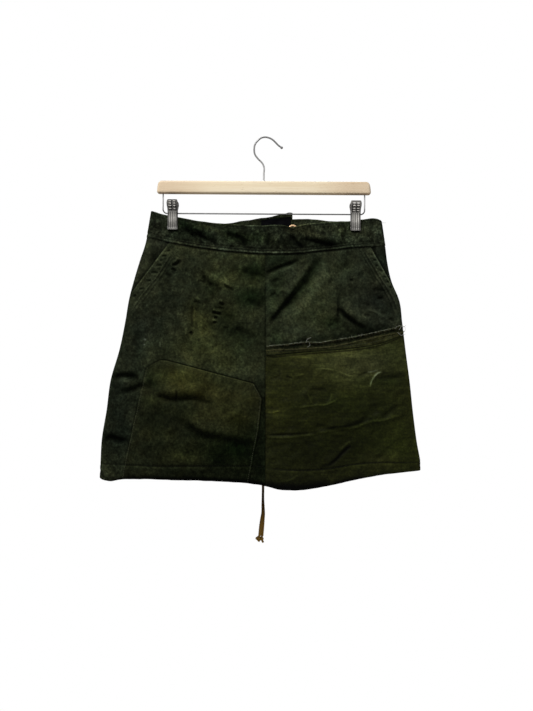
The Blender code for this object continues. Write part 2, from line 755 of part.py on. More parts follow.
def make_tie(look):
    for side, route in CORD_ROUTES.items():
        count = round(lengths_along(np.array(route))[-1] / CORD_SPACING)
        points = smooth_line(route, count)
        tube(f"tie_cord_{side}", points, CORD_RADIUS, look(f"tie_cord_{side}"))
        onward = points[-1] - points[-2]
        centre = points[-1] + onward / np.linalg.norm(onward) * (KNOT_RADIUS + SEAM)
        knot(f"tie_knot_{side}", centre, look(f"tie_knot_{side}"))
    tube("tie_loop", smooth_line(TIE_LOOP, TIE_LOOP_POINTS), TIE_LOOP_RADIUS, look("tie_loop"))


def knot(name, centre, look):
    mesh = bpy.data.meshes.new(name)
    shape = bmesh.new()
    bmesh.ops.create_icosphere(shape, subdivisions=2, radius=KNOT_RADIUS * MM)
    shape.to_mesh(mesh)
    shape.free()
    mesh.shade_smooth()
    made = placed(name, mesh, look)
    made.location = [float(value) * MM for value in centre]


# The hanger ------------------------------------------------------------------------------------
def cutter(name, radius, x, low, top):
    """A round hole's guide, along Z."""
    mesh = bpy.data.meshes.new(name)
    shape = bmesh.new()
    bmesh.ops.create_cone(
        shape, cap_ends=True, segments=16, radius1=radius * MM, radius2=radius * MM, depth=(top - low) * MM
    )
    shape.to_mesh(mesh)
    shape.free()
    made = bpy.data.objects.new(name, mesh)
    bpy.context.collection.objects.link(made)
    made.location = (x * MM, 0.0, 0.5 * (top + low) * MM)
    made.hide_render = True
    made.display_type = "WIRE"
    return made


def make_bar(look):
    """The wooden bar, rounded all over, with blind holes for the hook and the wire."""
    mesh = bpy.data.meshes.new("hanger_bar")
    shape = bmesh.new()
    bmesh.ops.create_cube(shape, size=1.0)
    bmesh.ops.scale(shape, vec=(BAR_LENGTH * MM, BAR_DEPTH * MM, BAR_HEIGHT * MM), verts=shape.verts)
    shape.to_mesh(mesh)
    shape.free()
    bar = placed("hanger_bar", mesh, look("hanger_bar"))
    bar.location = (HANGER_X * MM, 0.0, (BAR_TOP - 0.5 * BAR_HEIGHT) * MM)
    rounding = bar.modifiers.new("rounding", "BEVEL")
    rounding.width = BAR_ROUNDING * MM
    rounding.segments = 3
    rounding.limit_method = "NONE"
    low = BAR_TOP - BAR_HEIGHT
    holes = [(HOOK_RADIUS, HOOK[0][0], BAR_TOP - HOOK_HOLE_DEPTH, BAR_TOP + 2.0)]
    for way in (-1.0, 1.0):
        holes.append((WIRE_RADIUS, HANGER_X + way * WIRE_HALF_SPAN, low - 2.0, low + WIRE_HOLE_DEPTH))
    for number, (radius, x, bottom, top) in enumerate(holes):
        cut = bar.modifiers.new(f"hole_{number}", "BOOLEAN")
        cut.operation = "DIFFERENCE"
        cut.object = cutter(f"hole_guide_{number}", radius + HOLE_CLEARANCE, x, bottom, top)


def wire_points():
    """Down from the bar, round a bend and along under it, and up again at the other end."""
    top = BAR_TOP - BAR_HEIGHT + WIRE_HOLE_DEPTH - 0.5
    left = [(-WIRE_HALF_SPAN, top), (-WIRE_HALF_SPAN, WIRE_Z + WIRE_BEND + 8.0)]
    for step in range(WIRE_BEND_STEPS + 1):
        angle = 0.5 * math.pi * step / WIRE_BEND_STEPS
        x = -WIRE_HALF_SPAN + WIRE_BEND * (1.0 - math.cos(angle))
        left.append((x, WIRE_Z + WIRE_BEND * (1.0 - math.sin(angle))))
    right = [(-x, z) for x, z in reversed(left)]
    return [(HANGER_X + x, 0.0, z) for x, z in left + right]


def jaw(name, x, face, look):
    """A clip's jaw: a bent steel plate of even width."""
    line = np.array([(face * out, z) for out, z in JAW])
    ways = np.gradient(line, axis=0)
    across = np.stack([-ways[:, 1], ways[:, 0]], axis=-1)
    across /= np.linalg.norm(across, axis=1, keepdims=True)
    points = []
    for place, way in zip(line, across):
        for edge in (-0.5, 0.5):
            for thick in (-0.5, 0.5):
                y, z = place + way * thick * JAW_THICKNESS
                points.append((x + edge * CLIP_WIDTH, y, z))
    faces = [[0, 1, 3, 2], [len(points) - 4 + i for i in (0, 2, 3, 1)]]
    for first in range(0, len(points) - 4, 4):
        for a, b in ((0, 1), (1, 3), (3, 2), (2, 0)):
            faces.append([first + a, first + b, first + 4 + b, first + 4 + a])
    return mesh_object(name, points, faces, look)


def spring(name, x, look):
    """A clip's spring, as a plain sleeve on the wire between the jaws."""
    count = 16
    points, faces = [], []
    for end in (-0.5, 0.5):
        for radius in (SPRING_OUTER, SPRING_INNER):
            for step in range(count):
                angle = 2.0 * math.pi * step / count
                y, z = radius * math.cos(angle), radius * math.sin(angle)
                points.append((x + end * SPRING_LENGTH, y, WIRE_Z + z))
    rings = [0, 1, 3, 2]
    for ring, after in zip(rings, rings[1:] + rings[:1]):
        for step in range(count):
            following = (step + 1) % count
            a, b = ring * count, after * count
            faces.append([a + step, a + following, b + following, b + step])
    return mesh_object(name, points, faces, look)


def make_hanger(look):
    make_bar(look)
    hook_line = smooth_line(HOOK, HOOK_POINTS)
    tube("hanger_hook", [(x, 0.0, z) for x, z in hook_line], HOOK_RADIUS, look("hanger_hook"))
    tube("hanger_wire", wire_points(), WIRE_RADIUS, look("hanger_wire"))
    for side, x in CLIP_X.items():
        jaw(f"clip_front_{side}", x, FRONT, look(f"clip_front_{side}"))
        jaw(f"clip_back_{side}", x, BACK, look(f"clip_back_{side}"))
        spring(f"clip_spring_{side}", x, look(f"clip_spring_{side}"))


# Looks -----------------------------------------------------------------------------------------
GREEN, CANVAS, TAN = (0.018, 0.023, 0.012), (0.016, 0.017, 0.007), (0.24, 0.15, 0.075)
WOOD, STEEL, BLACK = (0.72, 0.56, 0.36), (0.42, 0.41, 0.39), (0.006, 0.006, 0.007)
LOOKS = [  # start of the piece's name, colour, roughness, metallic
    ("front_right_lower", CANVAS, 0.75, 0.0),
    ("raw_edge_wide", (0.10, 0.10, 0.065), 0.95, 0.0),
    ("tie_", TAN, 0.85, 0.0),
    ("label", BLACK, 0.6, 0.0),
    ("hanger_bar", WOOD, 0.5, 0.0),
    ("hanger_", STEEL, 0.3, 1.0),
    ("clip_", STEEL, 0.35, 1.0),
    ("", GREEN, 0.95, 0.0),
]


def look_for(name):
    colour, roughness, metallic = next(row[1:] for row in LOOKS if name.startswith(row[0]))
    return material(name, colour, roughness, metallic)


def main():
    for old in list(bpy.data.objects):
        bpy.data.objects.remove(old, do_unlink=True)
    make_waistbands(look_for)
    make_front_left(look_for)
    make_front_right_upper(look_for)
    make_front_right_lower(look_for)
    for side in (LEFT, RIGHT):
        make_facing(side, look_for)
        make_back(side, look_for)
    make_cargo_pocket(look_for)
    make_allowance("raw_edge_wide", WIDE_RAW_EDGE, WIDE_ALLOWANCE, look_for)
    make_allowance("raw_edge_narrow", NARROW_RAW_EDGE, NARROW_ALLOWANCE, look_for)
    make_label(look_for)
    make_tie(look_for)
    make_hanger(look_for)


main()
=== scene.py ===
"""Looks of a cargo utility skirt that is clipped by its waistband to a wooden hanger.

The tables and the two cloth surfaces follow those of the CAD part, so that every piece lies where its
solid is. The outline is up to 4 mm further out here, and the right pocket opening ends 18 mm lower.
Sizes are in millimetres and become metres where a mesh is made. The skirt's front faces -Y.
"""
import functools
import math

import bpy
import numpy as np
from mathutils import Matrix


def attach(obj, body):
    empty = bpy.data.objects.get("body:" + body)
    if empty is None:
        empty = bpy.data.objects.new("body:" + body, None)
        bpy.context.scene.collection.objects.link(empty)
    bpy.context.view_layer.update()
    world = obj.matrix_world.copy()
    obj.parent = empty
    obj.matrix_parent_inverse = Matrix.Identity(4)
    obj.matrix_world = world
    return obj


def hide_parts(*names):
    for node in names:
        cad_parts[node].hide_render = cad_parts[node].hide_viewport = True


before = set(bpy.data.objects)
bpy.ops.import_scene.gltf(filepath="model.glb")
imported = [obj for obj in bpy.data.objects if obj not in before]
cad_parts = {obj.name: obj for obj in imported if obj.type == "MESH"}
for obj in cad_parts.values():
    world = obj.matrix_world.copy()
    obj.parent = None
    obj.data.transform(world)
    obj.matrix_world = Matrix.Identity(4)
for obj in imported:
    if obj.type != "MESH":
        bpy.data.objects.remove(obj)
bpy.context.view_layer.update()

MM = 0.001
FRONT, BACK = -1.0, 1.0
LEFT, RIGHT = "left", "right"
random = np.random.default_rng(20)

# The camera: where it stands, its lens and how far it leans over, from the photograph's frame.
CAMERA_AT, CAMERA_LENS, CAMERA_SENSOR, CAMERA_LEAN = (4.3, -1000.0, -361.7), 30.45, 36.0, -0.35

# Layers of the cloth, each from its outer to its inner face, measured outwards from the surface.
SEAM = -0.2  # the pieces run this far into each other where they are sewn
BAND = (0.0, -2.4)
PANEL = (-0.6, -1.8)
HEM_INNER = -3.0
PATCH = (1.1, 0.0)
WIDE_ALLOWANCE = (0.8, 0.0)
NARROW_ALLOWANCE = (2.0, 1.2)
FACING_SUNK = (-2.1, -3.1)
LABEL_LAYER = (-2.7, -3.3)

# How the skirt hangs: half the gap between its folded sides, and how far the front and the back
# stand out between the clips at the waist and at the middle of the hem.
WAIST_Z, HEM_Z = -150.0, -565.0
HALF_GAP_WAIST, HALF_GAP_BELOW_BAND, HALF_GAP_HEM = 2.7, 3.6, 5.0
STAND_OUT = {FRONT: (12.0, 45.0), BACK: (4.0, 20.0)}
CLIP_REACH = 150.0
WAIST_FADE = 0.9
FOLD_FADE = 14.0

SIDES = [  # z, x of the left side fold, x of the right side fold
    (-122.0, -189.0, 194.5),
    (-152.0, -193.7, 195.5),
    (-178.0, -198.9, 201.0),
    (-204.0, -207.3, 204.5),
    (-237.0, -217.1, 211.9),
    (-270.0, -225.5, 225.5),
    (-304.0, -231.0, 230.1),
    (-354.0, -241.0, 236.4),
    (-404.0, -255.2, 243.3),
    (-454.0, -261.6, 248.9),
    (-504.0, -269.5, 255.7),
    (-540.0, -271.2, 261.8),
    (-575.0, -272.3, 259.8),
]
FRONT_TOP = [  # x, z of the front waistband's upper edge
    (-188.0, -122.6),
    (-161.0, -130.8),
    (-142.0, -133.4),
    (-92.0, -142.1),
    (-55.0, -145.6),
    (-8.0, -148.5),
    (35.0, -148.2),
    (45.0, -150.8),
    (59.0, -146.5),
    (108.0, -139.8),
    (138.0, -138.0),
    (160.0, -135.0),
    (189.0, -134.4),
    (194.5, -136.8),
]
FRONT_SEAM = [  # x, z of the seam under the front waistband
    (-194.5, -167.5),
    (-157.0, -176.0),
    (-110.0, -184.6),
    (-60.0, -192.0),
    (-7.0, -196.4),
    (47.0, -195.6),
    (110.0, -187.6),
    (140.0, -183.9),
    (199.0, -179.0),
]
FRONT_HEM = [  # x, z of the front's lower edge
    (-271.5, -566.9),
    (-259.0, -570.2),
    (-230.0, -566.0),
    (-123.0, -561.7),
    (-59.0, -562.4),
    (-8.0, -566.1),
    (30.0, -574.2),
    (56.0, -574.9),
    (81.0, -572.7),
    (107.0, -568.7),
    (133.0, -563.6),
    (186.0, -555.9),
    (214.0, -553.4),
    (257.5, -550.8),
]
BACK_TOP_LEFT = [  # x, z of the left back waistband's upper edge, which laps over the middle
    (-188.0, -122.6),
    (-152.0, -132.0),
    (-100.0, -141.0),
    (-62.0, -141.4),
    (-43.0, -138.4),
    (-23.0, -135.1),
    (-3.0, -131.7),
    (12.0, -129.7),
    (22.0, -127.1),
    (32.0, -124.8),
    (40.0, -122.3),
    (46.5, -123.4),
]
BACK_TOP_RIGHT = [  # x, z of the right back waistband's upper edge
    (8.0, -134.5),
    (49.0, -133.6),
    (81.0, -134.4),
    (109.0, -137.6),
    (150.0, -137.6),
    (194.5, -136.8),
]
BACK_SEAM = [  # x, z of the seam under the back waistband
    (-194.5, -167.5),
    (-110.0, -178.0),
    (0.0, -177.0),
    (110.0, -179.0),
    (199.0, -179.0),
]
LAP_LOWER_EDGE = [  # x, z of the lower edge of the lapped end
    (0.0, -177.0),
    (46.5, -167.0),
]
BACK_HEM = [  # x, z of the back's lower edge
    (-271.5, -564.6),
    (-200.0, -559.0),
    (-130.0, -557.0),
    (0.0, -556.0),
    (130.0, -552.0),
    (257.5, -548.2),
]
CENTRE_FRONT = [(1.5, -196.0), (3.7, -567.5)]
CENTRE_BACK_X = 0.0
LAP_START, LAP_END = 8.0, 46.5
LAP_RISE, LAP_EASE = 2.7, (50.0, 75.0)

OPENINGS = {  # x at the waist seam, and x, z at the side fold, of each slanting pocket opening
    LEFT: (-158.2, -223.8, -264.0),
    RIGHT: (175.9, 222.3, -262.0),
}
FACING_UNDERLAP = 12.0
FACING_TIP = {LEFT: 0.8, RIGHT: 0.6}  # share of the opening below which the facing doesn't run under
FACING_COLUMNS, FACING_HEIGHT, FACING_SPACING = 15, 100.0, 2.0
FACING_TIP_SHORT, FACING_TIP_WIDTH, FACING_TIP_LAP = 4.0, 0.8, 0.6
FACING_SINK_BEFORE, FACING_SINK_OVER = 12.0, 9.0  # from the opening
FACING_LEVEL_SIDE, FACING_SIDE_FADE = 1.0, 5.0  # from the side fold

FOLDS = {  # x, z of both ends, half width, height out of the cloth
    FRONT: [
        (9.0, -305.0, 62.0, -236.0, 11.0, 2.4),
        (62.0, -236.0, 88.0, -203.0, 10.0, 2.0),
        (7.0, -226.0, 56.0, -203.0, 9.0, -1.6),
        (122.0, -282.0, 173.0, -320.0, 14.0, 1.6),
        (-119.0, -192.0, -118.0, -316.0, 7.0, -1.3),
        (121.0, -190.0, 121.0, -304.0, 7.0, -1.3),
        (-140.0, -146.0, -90.0, -175.0, 9.0, -1.4),
        (42.0, -156.0, 66.0, -180.0, 8.0, -1.5),
        (66.0, -170.0, 116.0, -178.0, 7.0, -1.2),
        (-77.0, -272.0, -75.0, -308.0, 10.0, -1.8),
        (-106.0, -225.0, -69.0, -255.0, 12.0, 1.6),
        (-244.0, -401.0, -204.0, -396.0, 13.0, -1.4),
        (-240.0, -426.0, -208.0, -415.0, 13.0, 1.2),
        (-252.0, -500.0, -222.0, -491.0, 13.0, -1.4),
        (102.0, -483.0, 173.0, -467.0, 9.0, 1.5),
        (173.0, -467.0, 222.0, -458.0, 9.0, 1.2),
        (109.0, -535.0, 143.0, -505.0, 9.0, 1.4),
        (-150.0, -440.0, -160.0, -560.0, 32.0, 3.0),
        (40.0, -470.0, 46.0, -570.0, 30.0, 3.0),
        (150.0, -400.0, 180.0, -545.0, 34.0, -3.0),
    ],
    BACK: [
        (-60.0, -230.0, -88.0, -330.0, 24.0, 2.0),
        (70.0, -215.0, 96.0, -300.0, 22.0, -1.8),
        (-120.0, -420.0, -135.0, -552.0, 34.0, 3.0),
        (110.0, -400.0, 128.0, -548.0, 36.0, -2.6),
    ],
}
CREASES = {  # x, z along each crease, half width, height out of the cloth
    FRONT: [
        ([(92, -194), (85, -207), (72, -229), (57, -248), (43, -267), (27, -288), (10, -308)], 7.0, -2.8),
        ([(56, -250), (46, -263), (34, -277), (22, -292), (9, -309)], 2.8, -1.2),
        ([(112, -206), (96, -232), (76, -262), (56, -286), (36, -306)], 10.0, 1.9),
        ([(66, -222), (52, -244), (36, -262)], 5.0, 0.9),
        ([(57, -204), (35, -213), (22, -218), (3, -227)], 3.2, -2.0),
        ([(56, -211), (30, -223), (4, -234)], 6.0, 1.1),
        ([(121, -281), (130, -291), (140, -300), (154, -309), (170, -317)], 4.2, -2.6),
        ([(124, -284), (134, -295), (150, -307)], 2.2, -1.0),
        ([(127, -274), (146, -289), (166, -298)], 7.0, 1.5),
        ([(122, -263), (122, -286), (121, -309)], 2.0, -1.2),
        ([(114, -312), (112, -298)], 6.0, -1.2),
        ([(143, -233), (144, -238)], 3.0, -1.3),
        ([(12, -243), (23, -236)], 2.8, -0.9),
        ([(9, -266), (19, -258)], 2.6, -0.9),
        ([(20, -262), (30, -252)], 3.0, 0.8),
        ([(6, -314), (17, -334)], 5.0, 0.9),
        ([(178, -250), (188, -251), (201, -253)], 2.6, -1.1),
        ([(187, -265), (199, -265)], 2.2, -0.9),
        ([(161, -274), (175, -277)], 2.4, -0.9),
        ([(168, -285), (182, -287), (197, -298)], 2.8, 1.4),
        ([(164, -293), (175, -294)], 2.2, -1.0),
        ([(206, -298), (216, -303)], 2.4, -0.7),
        ([(126, -222), (133, -212), (136, -203)], 5.0, -0.9),
        ([(-138, -149), (-123, -157), (-106, -164), (-80, -178)], 3.8, -2.1),
        ([(-124, -160), (-110, -170), (-98, -178)], 3.0, -1.4),
        ([(-132, -143), (-108, -153), (-86, -166)], 5.0, 1.1),
        ([(-62, -163), (-51, -165), (-39, -170), (-31, -182)], 4.4, -1.9),
        ([(-74, -158), (-56, -156), (-40, -160)], 4.0, 0.9),
        ([(-20, -158), (-21, -174)], 2.4, 0.9),
        ([(-11, -160), (-12, -178)], 2.2, -1.0),
        ([(-3, -168), (-4, -184)], 2.2, 0.9),
        ([(8, -160), (6, -182)], 2.6, -1.0),
        ([(20, -164), (17, -186)], 2.8, 0.9),
        ([(41, -161), (54, -176), (64, -185)], 3.2, -1.9),
        ([(46, -158), (60, -170)], 4.0, 1.1),
        ([(63, -168), (83, -172), (116, -178)], 4.0, -1.9),
        ([(70, -160), (96, -163), (118, -166)], 5.0, 1.0),
        ([(126, -150), (124, -172)], 3.0, 0.8),
        ([(134, -152), (131, -176)], 2.6, -0.8),
        ([(-176, -142), (-177, -176)], 3.0, -0.6),
        ([(-153, -212), (-147, -211), (-139, -204)], 2.4, -1.8),
        ([(-153, -217), (-146, -223)], 2.4, -1.6),
        ([(-148, -207), (-143, -200)], 2.2, 1.0),
        ([(-163, -226), (-154, -232)], 2.4, -0.9),
        ([(-66, -247), (-58, -251), (-49, -255)], 2.2, -1.2),
        ([(-66, -243), (-56, -247)], 2.6, 0.9),
        ([(-100, -230), (-94, -240), (-86, -246)], 3.6, -1.8),
        ([(-109, -239), (-96, -241)], 2.4, -1.1),
        ([(-90, -243), (-80, -249), (-71, -256)], 5.0, -1.5),
        ([(-96, -224), (-77, -236), (-56, -240)], 5.0, 1.3),
        ([(-105, -221), (-100, -222)], 2.2, 1.2),
        ([(-116, -273), (-103, -277)], 2.2, -1.1),
        ([(-114, -268), (-104, -270)], 2.2, 0.8),
        ([(-73, -275), (-69, -278), (-65, -277)], 2.0, -1.4),
        ([(-74, -270), (-68, -274)], 2.0, 1.1),
        ([(-74, -283), (-66, -286)], 2.0, -1.1),
        ([(-84, -286), (-78, -288), (-71, -289)], 2.2, 1.3),
        ([(-85, -290), (-78, -293), (-69, -293)], 2.2, -1.9),
        ([(-82, -294), (-73, -297)], 2.0, 1.1),
        ([(-82, -299), (-76, -301)], 2.2, -1.6),
        ([(-84, -304), (-77, -304)], 2.0, 0.9),
        ([(-84, -308), (-77, -308)], 1.8, -0.9),
        ([(-118, -280), (-118, -298), (-118, -316)], 1.8, -1.0),
        ([(-120, -322), (-117, -328)], 2.4, -1.8),
        ([(-117, -317), (-114, -320)], 2.0, 1.0),
        ([(-127, -316), (-128, -328)], 2.0, 0.8),
        ([(-66, -316), (-58, -318)], 2.0, -0.9),
        ([(-46, -315), (-30, -324), (-15, -331)], 5.0, -1.7),
        ([(-64, -296), (-52, -300)], 4.0, -1.2),
        ([(-38, -223), (-17, -229), (1, -231)], 4.0, -1.3),
        ([(-28, -268), (-12, -277), (0, -279)], 5.0, -1.7),
        ([(-44, -216), (-20, -214)], 4.0, 0.9),
        ([(-252, -400), (-236, -395), (-223, -395), (-205, -398)], 4.6, -2.4),
        ([(-245, -406), (-214, -404)], 6.0, 1.3),
        ([(-239, -421), (-223, -419), (-214, -417), (-198, -411), (-182, -415)], 4.6, -2.5),
        ([(-232, -408), (-222, -410)], 2.4, -0.9),
        ([(-264, -499), (-248, -497), (-235, -501), (-222, -499)], 4.8, -2.5),
        ([(-262, -508), (-228, -510)], 7.0, 1.2),
        ([(-176, -424), (-157, -431), (-141, -433), (-114, -430), (-94, -436), (-78, -437)], 5.4, -2.5),
        ([(-172, -414), (-140, -420), (-100, -420)], 8.0, 1.4),
        ([(-141, -417), (-140, -434)], 2.0, -1.3),
        ([(-139, -458), (-127, -469), (-113, -480), (-84, -491), (-55, -496), (-16, -503)], 7.0, -1.9),
        ([(-128, -448), (-104, -468), (-66, -480)], 9.0, 1.2),
        ([(4, -488), (36, -487), (75, -485), (86, -483)], 1.8, -1.0),
        ([(6, -491), (40, -490), (84, -486)], 2.6, 0.9),
        ([(84, -484), (125, -479), (153, -475), (173, -468), (200, -464), (228, -456)], 2.4, 0.9),
        ([(84, -471), (112, -478), (127, -478), (149, -471), (165, -462), (172, -452)], 4.2, -1.5),
        ([(103, -537), (117, -527), (129, -515), (142, -505)], 2.6, -1.3),
        ([(124, -512), (133, -504), (142, -498)], 1.8, 0.5),
        ([(71, -421), (75, -431), (79, -440)], 1.4, 0.4),
        ([(56, -445), (81, -441), (104, -439), (117, -433), (125, -429)], 1.5, 0.5),
        ([(111, -422), (107, -437)], 1.4, 0.4),
        ([(74, -415), (103, -415)], 2.6, -0.7),
        ([(86, -383), (98, -382), (114, -385), (128, -389), (140, -394), (155, -394)], 1.6, 0.45),
        ([(52, -394), (66, -391)], 1.6, 0.4),
        ([(11, -400), (26, -391), (22, -383)], 2.0, -0.7),
        ([(195, -387), (186, -390), (180, -397), (176, -404), (174, -413)], 2.0, 1.1),
        ([(188, -395), (236, -394)], 5.4, -1.7),
        ([(176, -420), (184, -453)], 7.0, -1.2),
        ([(4, -453), (17, -452), (27, -449)], 1.7, 0.5),
        ([(36, -560), (46, -556), (56, -550)], 1.7, 0.5),
        ([(206, -533), (222, -518), (242, -502)], 6.0, 0.9),
        ([(183, -526), (202, -521)], 3.6, -0.7),
        ([(194, -461), (223, -440)], 4.6, -1.2),
        ([(36, -394), (46, -398)], 2.0, -0.8),
        ([(154, -394), (170, -388)], 2.2, -0.8),
    ],
    BACK: [
        ([(-150, -196), (-112, -222), (-70, -236)], 6.0, -1.8),
        ([(-142, -190), (-100, -212), (-62, -226)], 8.0, 1.3),
        ([(40, -196), (62, -226), (72, -262)], 5.0, -1.9),
        ([(52, -196), (78, -230), (86, -268)], 8.0, 1.4),
        ([(112, -206), (150, -214)], 5.0, -1.2),
        ([(-28, -244), (-58, -262), (-66, -286)], 4.0, -1.3),
        ([(-230, -396), (-196, -404), (-168, -400)], 6.0, -1.8),
        ([(-246, -470), (-206, -462)], 6.0, 1.4),
        ([(150, -388), (196, -372), (228, -376)], 5.0, -1.6),
        ([(30, -432), (74, -424), (120, -432)], 4.4, -1.4),
        ([(34, -440), (78, -433), (118, -440)], 4.0, 1.1),
        ([(-96, -470), (-60, -486), (-22, -484)], 5.0, 1.3),
        ([(-104, -478), (-66, -496), (-28, -494)], 4.0, -1.3),
        ([(96, -512), (132, -498), (174, -500)], 5.0, -1.4),
        ([(-176, -520), (-150, -500), (-138, -474)], 5.0, -1.5),
        ([(190, -300), (176, -326), (150, -338)], 6.0, -1.4),
        ([(-190, -300), (-160, -312), (-140, -336)], 6.0, 1.3),
    ],
}
UNEVEN_WAVES, UNEVEN_SLOPE, UNEVEN_LENGTHS = 44, 0.03, (9.0, 60.0)
CREASE_GAIN = 1.5
CREASE_DROP = 0.6  # share of its half width by which a crease lies below the shadow that shows it

CARGO_TOP = [  # x, z round the top of the cargo pocket
    (-193.0, -382.9),
    (-169.7, -370.3),
    (-158.0, -371.0),
    (-16.3, -406.8),
    (-2.5, -430.6),
]
CARGO_RIGHT = [(-2.5, -430.6), (-7.7, -480.6), (-22.3, -561.0)]
CARGO_LEFT = [(-193.0, -382.9), (-231.4, -562.4)]
CARGO_SHORTER = 0.8

YOKE_SEAM = [  # x, z of the stitched line between the right front's upper part and its canvas
    (2.9, -362.5),
    (55.0, -357.4),
    (94.0, -353.9),
    (144.0, -349.6),
    (194.0, -340.4),
    (228.0, -327.2),
    (234.0, -324.9),
]
WIDE_RAW_EDGE = [  # x, z of the frayed edge of the canvas's allowance
    (2.8, -346.4),
    (36.0, -343.0),
    (71.0, -338.9),
    (86.0, -339.6),
    (114.0, -335.4),
    (144.0, -330.3),
    (174.0, -323.7),
    (204.0, -316.8),
    (225.0, -311.5),
    (232.0, -309.8),
]
NARROW_RAW_EDGE = [  # x, z of the raw edge of the upper part's allowance, which lies over it
    (2.8, -352.9),
    (55.0, -350.4),
    (114.0, -345.2),
    (174.0, -331.9),
    (222.0, -322.0),
    (232.0, -320.2),
]
ALLOWANCE_START, ALLOWANCE_SHORTER = 1.0, 2.5
ALLOWANCE_ABOVE_SEAM, ALLOWANCE_SPACING = 1.2, (1.1, 1.2)
RAW_UNEVEN = (0.35, 0.3)  # heights of the raw edges' longer and shorter waves
RAW_CURL, RAW_CURL_REACH = {"raw_edge_wide": 1.1, "raw_edge_narrow": 0.5}, 6.0

HEM_DEPTH = 21.0
LABEL_TOP, LABEL_HEIGHT = [(-6.5, -135.4), (18.0, -132.9), (43.9, -130.0)], 19.0  # x, z

# The hanger.
HANGER_X = -1.6
BAR_LENGTH, BAR_HEIGHT, BAR_DEPTH, BAR_TOP = 355.0, 20.5, 12.0, -73.0
HOOK_RADIUS, WIRE_RADIUS = 1.4, 1.1
WIRE_HOLE_DEPTH = 10.0
HOOK = [  # x, z along the hook's middle line, from inside the bar to the tip
    (-2.0, -87.0),
    (-2.0, -60.0),
    (-2.1, -47.5),
    (-4.0, -43.0),
    (-12.6, -33.8),
    (-17.0, -27.4),
    (-18.3, -18.5),
    (-16.8, -10.6),
    (-12.3, -4.6),
    (-6.5, 0.1),
    (0.0, 1.4),
    (6.3, 0.2),
    (12.4, -3.0),
    (17.6, -7.8),
    (22.2, -12.5),
    (26.4, -15.4),
]
WIRE_Z, WIRE_HALF_SPAN, WIRE_BEND = -126.5, 167.5, 7.0
CLIP_X = {LEFT: -152.8, RIGHT: 150.6}
JAW_THICKNESS = 1.2
JAW = [  # distance of the plate's middle from the hanger's plane, z
    (10.6, -105.6),
    (9.2, -112.0),
    (5.6, -121.0),
    (4.55, -126.5),
    (4.6, -132.0),
    (4.9, -140.0),
    (3.85, -147.6),
    (3.85, -149.6),
    (5.3, -153.4),
]
SPRING_RADIUS, SPRING_WIRE, SPRING_LENGTH, SPRING_TURNS = 3.0, 0.5, 11.0, 7

# The tie.
CORD_ROUTES = {  # x, y, z
    LEFT: [
        (-5.5, 9.6, -158.0),
        (-5.2, 10.8, -164.0),
        (-4.6, 11.9, -180.0),
        (-4.0, 12.9, -200.0),
        (-3.0, 16.8, -300.0),
        (-2.0, 20.4, -400.0),
        (-1.4, 24.5, -500.0),
        (-1.0, 27.3, -556.0),
        (-0.6, 27.6, -590.0),
        (-0.8, 27.6, -615.0),
        (-0.8, 27.6, -632.0),
        (-3.4, 27.2, -648.0),
        (-4.4, 27.0, -659.0),
        (-5.2, 27.0, -669.0),
    ],
    RIGHT: [
        (2.0, 9.6, -158.0),
        (1.9, 10.8, -164.0),
        (1.7, 11.9, -180.0),
        (1.5, 12.9, -200.0),
        (1.4, 16.8, -300.0),
        (2.2, 20.6, -400.0),
        (2.4, 26.6, -500.0),
        (0.5, 31.0, -548.0),
        (0.2, 31.5, -590.0),
        (0.2, 31.5, -612.0),
        (1.3, 31.4, -629.0),
        (0.6, 31.2, -644.0),
        (0.0, 31.1, -655.0),
        (-0.9, 31.2, -664.0),
        (-1.3, 31.2, -671.0),
    ],
}
CORD_PATH_POINTS = 40
CORD_STRANDS, CORD_LAY, CORD_RELIEF, CORD_SIDES, CORD_STEP = 3, 9.0, 0.16, 12, 0.9
TIE_LOOP = [  # x, y, z of the piece of the tie that shows beside the label
    (40.6, 0.6, -149.5),
    (43.2, 0.4, -146.6),
    (47.0, 0.4, -145.6),
    (51.0, 0.6, -147.2),
    (53.6, 0.9, -151.0),
    (54.4, 1.2, -157.0),
]
TIE_LOOP_RADIUS = 1.9


# Tables and lines ------------------------------------------------------------------------------
STROKE_REACH, STROKE_ENDS = 3.0, 5  # how many half widths it is felt, how suddenly its ends fade
CORNER_STEPS = 8


def smooth(share):
    """0 to 1 with soft ends."""
    share = np.clip(share, 0.0, 1.0)
    return share * share * (3.0 - 2.0 * share)


def curve(rows, at, column=1):
    """A column of a table, read on a smooth curve through its rows, by the first column."""
    table = np.array(sorted(rows), float)
    knots, values = table[:, 0], table[:, column]
    slopes = np.gradient(values, knots)
    at = np.clip(at, knots[0], knots[-1])
    low = np.clip(np.searchsorted(knots, at) - 1, 0, len(knots) - 2)
    gap = knots[low + 1] - knots[low]
    t = (at - knots[low]) / gap
    return (
        (2 * t**3 - 3 * t**2 + 1) * values[low]
        + (t**3 - 2 * t**2 + t) * gap * slopes[low]
        + (3 * t**2 - 2 * t**3) * values[low + 1]
        + (t**3 - t**2) * gap * slopes[low + 1]
    )


def lengths_along(points):
    steps = np.linalg.norm(np.diff(points, axis=0), axis=1)
    return np.concatenate([[0.0], np.cumsum(steps)])


def at_shares(points, shares):
    """Points at the given shares of a line's length."""
    points = np.asarray(points, float)
    lengths = lengths_along(points)
    wanted = np.asarray(shares) * lengths[-1]
    return np.stack([np.interp(wanted, lengths, points[:, i]) for i in range(points.shape[1])], axis=-1)


def smooth_line(rows, count):
    """Evenly spaced points on a smooth curve through the rows of a route."""
    rows = np.asarray(rows, float)
    lengths = lengths_along(rows)
    fine = np.linspace(0.0, lengths[-1], 12 * count)
    columns = [curve(list(zip(lengths, rows[:, i])), fine) for i in range(rows.shape[1])]
    return at_shares(np.stack(columns, axis=-1), np.linspace(0.0, 1.0, count))


